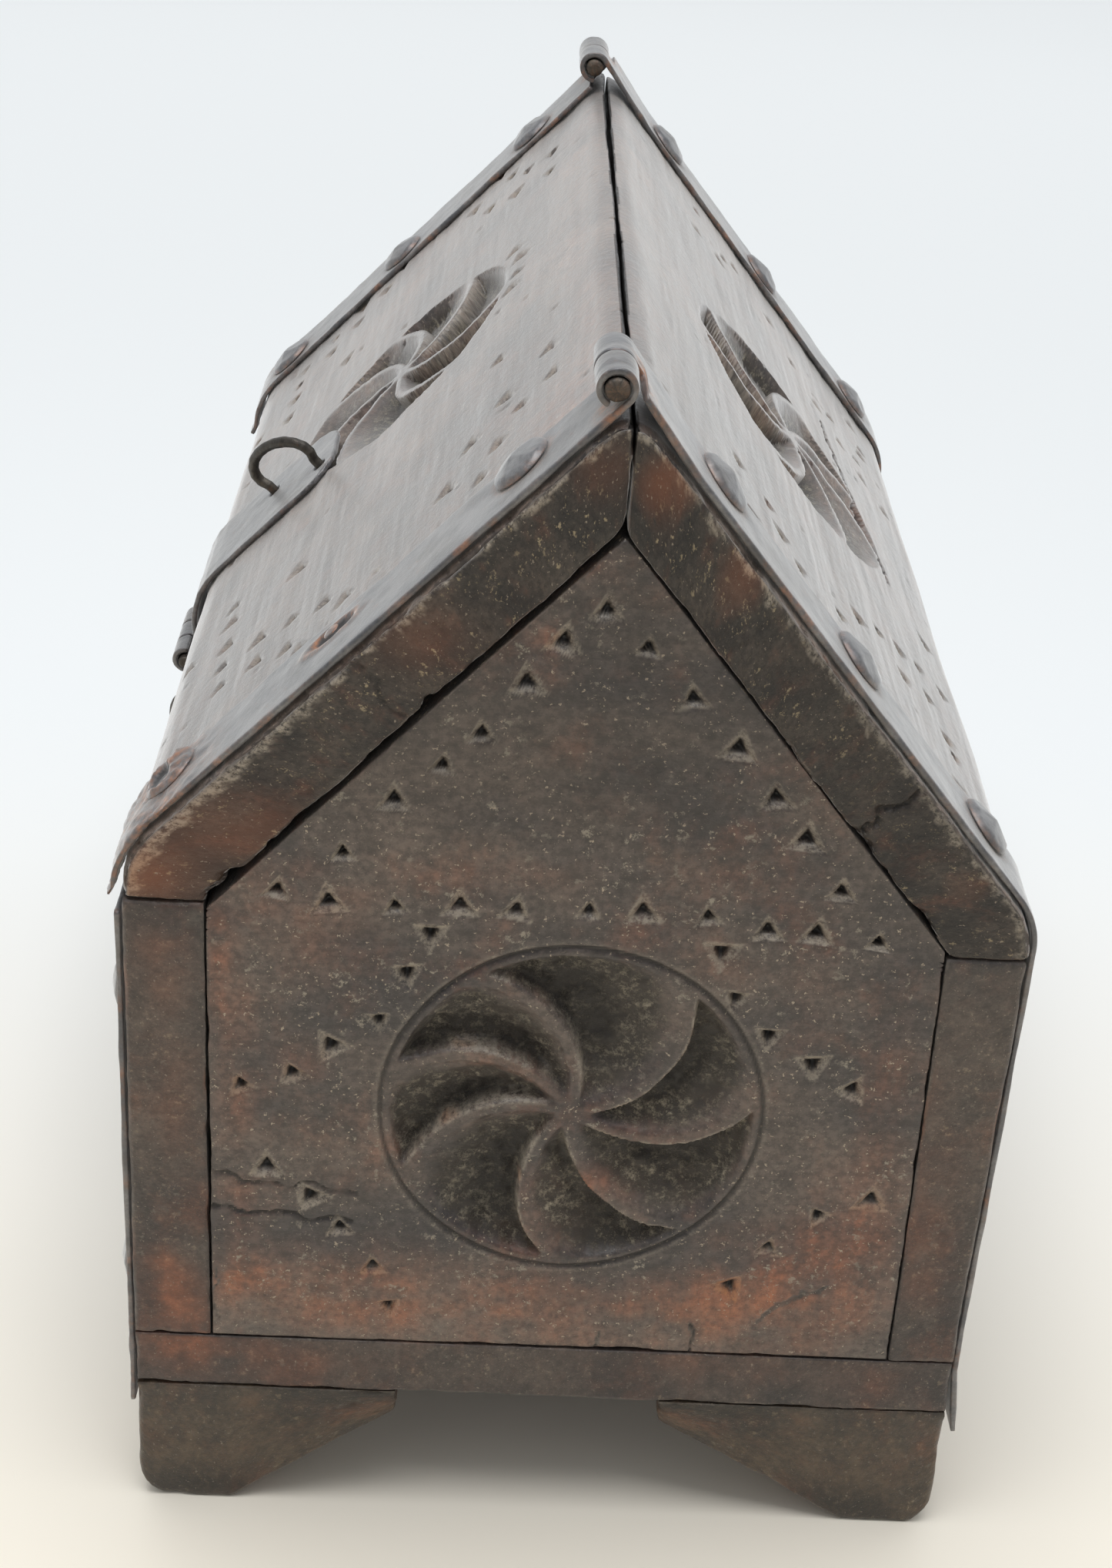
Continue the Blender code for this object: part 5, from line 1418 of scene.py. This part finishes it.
def weathered(node, body, material, voxel, seed, smooth=3, dents=0.00009):
    """A worn copy of a forged part: edges rounded by use, hammered faces."""
    source = bpy.data.objects[node]
    mesh = source.data.copy()
    mesh.transform(source.matrix_world)
    copy = put_in_scene("worn_" + node, mesh)
    remesh = copy.modifiers.new("remesh", "REMESH")
    remesh.mode = "VOXEL"
    remesh.voxel_size = voxel
    relax = copy.modifiers.new("smooth", "SMOOTH")
    relax.factor = 0.5
    relax.iterations = smooth
    worn = bpy.data.meshes.new_from_object(copy.evaluated_get(bpy.context.evaluated_depsgraph_get()))
    bpy.data.objects.remove(copy)
    count = len(worn.vertices)
    points = np.empty(count * 3)
    worn.vertices.foreach_get("co", points)
    points = points.reshape(-1, 3)
    normals = np.empty(count * 3)
    worn.vertices.foreach_get("normal", normals)
    normals = normals.reshape(-1, 3)
    edges = np.empty(len(worn.edges) * 2, np.int64)
    worn.edges.foreach_get("vertices", edges)
    first, second = edges.reshape(-1, 2).T
    # Where the neighbours lie lower the form is an edge
    around = np.zeros((count, 3))
    shared = np.zeros(count)
    np.add.at(around, first, points[second] - points[first])
    np.add.at(around, second, points[first] - points[second])
    np.add.at(shared, first, 1)
    np.add.at(shared, second, 1)
    curve = -np.einsum("ij,ij->i", around / shared[:, None], normals) / voxel
    wear = ramp(curve, 0.06, 0.25)
    offset = rough(points, 0.006, seed, 2) * dents + rough(points, 0.002, seed + 3, 2) * dents * 0.35
    points = points - normals * (offset + dents * 0.5)[:, None] - np.array((0, SHIFT, 0))
    cloud = rough(points, 0.005, seed + 5)
    stain_and_shade = wear * ramp(cloud, -0.1, 0.7) * 0.7
    faces = [tuple(face.vertices) for face in worn.polygons]
    marks = {"wear": wear, "stain_and_shade": stain_and_shade}
    finish_piece("worn_" + node, node, points, faces, body, material, marks, points)


weathered("hasp_plate", "lid", iron_strap, 0.00036, 501)
weathered("hasp_tongue", "hasp", iron_strap, 0.00036, 511)
weathered("hasp_pin", "lid", iron_wire, 0.00028, 521)
weathered("lid_loop", "lid", iron_wire, 0.00026, 531, smooth=6)
weathered("wall_staple", "box", iron_wire, 0.00028, 541, smooth=6)


# World, light and floor


def light_scene():
    world = bpy.data.worlds.new("world")
    bpy.context.scene.world = world
    world.use_nodes = True
    tree = world.node_tree
    sky = tree.nodes["Background"]
    sky.inputs["Color"].default_value = (0.96, 0.98, 1.0, 1)
    way = add(tree, "SeparateXYZ", None, i0=add(tree, "TexCoord").outputs["Generated"])
    # The light wall stands behind the box
    wall = add(tree, "MapRange", None, i0=way.outputs[0], i1=-1.0, i2=1.0, i3=0.85, i4=0.32).outputs[0]
    seen = add(tree, "LightPath").outputs["Is Camera Ray"]
    bright = figure(tree, "MULTIPLY_ADD", figure(tree, "SUBTRACT", 0.90, wall), seen, wall)
    link(tree, bright, sky.inputs["Strength"])
    bpy.context.scene.view_settings.view_transform = "Standard"
    data = bpy.data.lights.new("soft top light", "AREA")
    data.shape = "RECTANGLE"
    data.size = 1.0
    data.size_y = 1.0
    data.energy = 14.5
    lamp = put_in_scene("soft top light", data)
    lamp.location = (0.18, -0.05, 1.5)
    lamp.rotation_euler = (Vector((0, 0, 0.1)) - Vector(lamp.location)).to_track_quat("-Z", "Y").to_euler()


def lay_floor():
    mesh = bpy.data.meshes.new("floor")
    mesh.from_pydata([(-9, -9, 0), (9, -9, 0), (9, 9, 0), (-9, 9, 0)], [], [(0, 1, 2, 3)])
    floor = put_in_scene("floor", mesh)
    material = bpy.data.materials.new("pale floor")
    material.use_nodes = True
    tree = material.node_tree
    shader = tree.nodes["Principled BSDF"]
    place = add(tree, "NewGeometry").outputs["Position"]
    parts = add(tree, "SeparateXYZ", None, i0=place)
    smooth = {"interpolation_type": "SMOOTHSTEP"}
    far = add(tree, "MapRange", smooth, i0=parts.outputs[0], i1=0.30, i2=-0.25).outputs[0]
    colour = blend(tree, far, rgb(253, 244, 226), rgb(239, 242, 243))
    link(tree, colour, shader.inputs["Base Color"])
    # Far from the box the floor glows a little, so that it stays white where the lamp hardly reaches
    reach = add(tree, "VectorMath", {"operation": "LENGTH"}, i0=place).outputs["Value"]
    glow = add(tree, "MapRange", smooth, i0=reach, i1=0.30, i2=1.50, i3=0.0, i4=0.20).outputs[0]
    outer_glow = add(tree, "MapRange", None, i0=reach, i1=1.5, i2=6.0, i3=0.0, i4=0.16).outputs[0]
    glow = figure(tree, "ADD", glow, outer_glow)
    seen = add(tree, "LightPath").outputs["Is Camera Ray"]
    link(tree, figure(tree, "MULTIPLY", glow, seen), shader.inputs["Emission Strength"])
    shader.inputs["Emission Color"].default_value = (0.96, 0.99, 1.0, 1)
    shader.inputs["Roughness"].default_value = 0.6
    mesh.materials.append(material)


light_scene()
lay_floor()
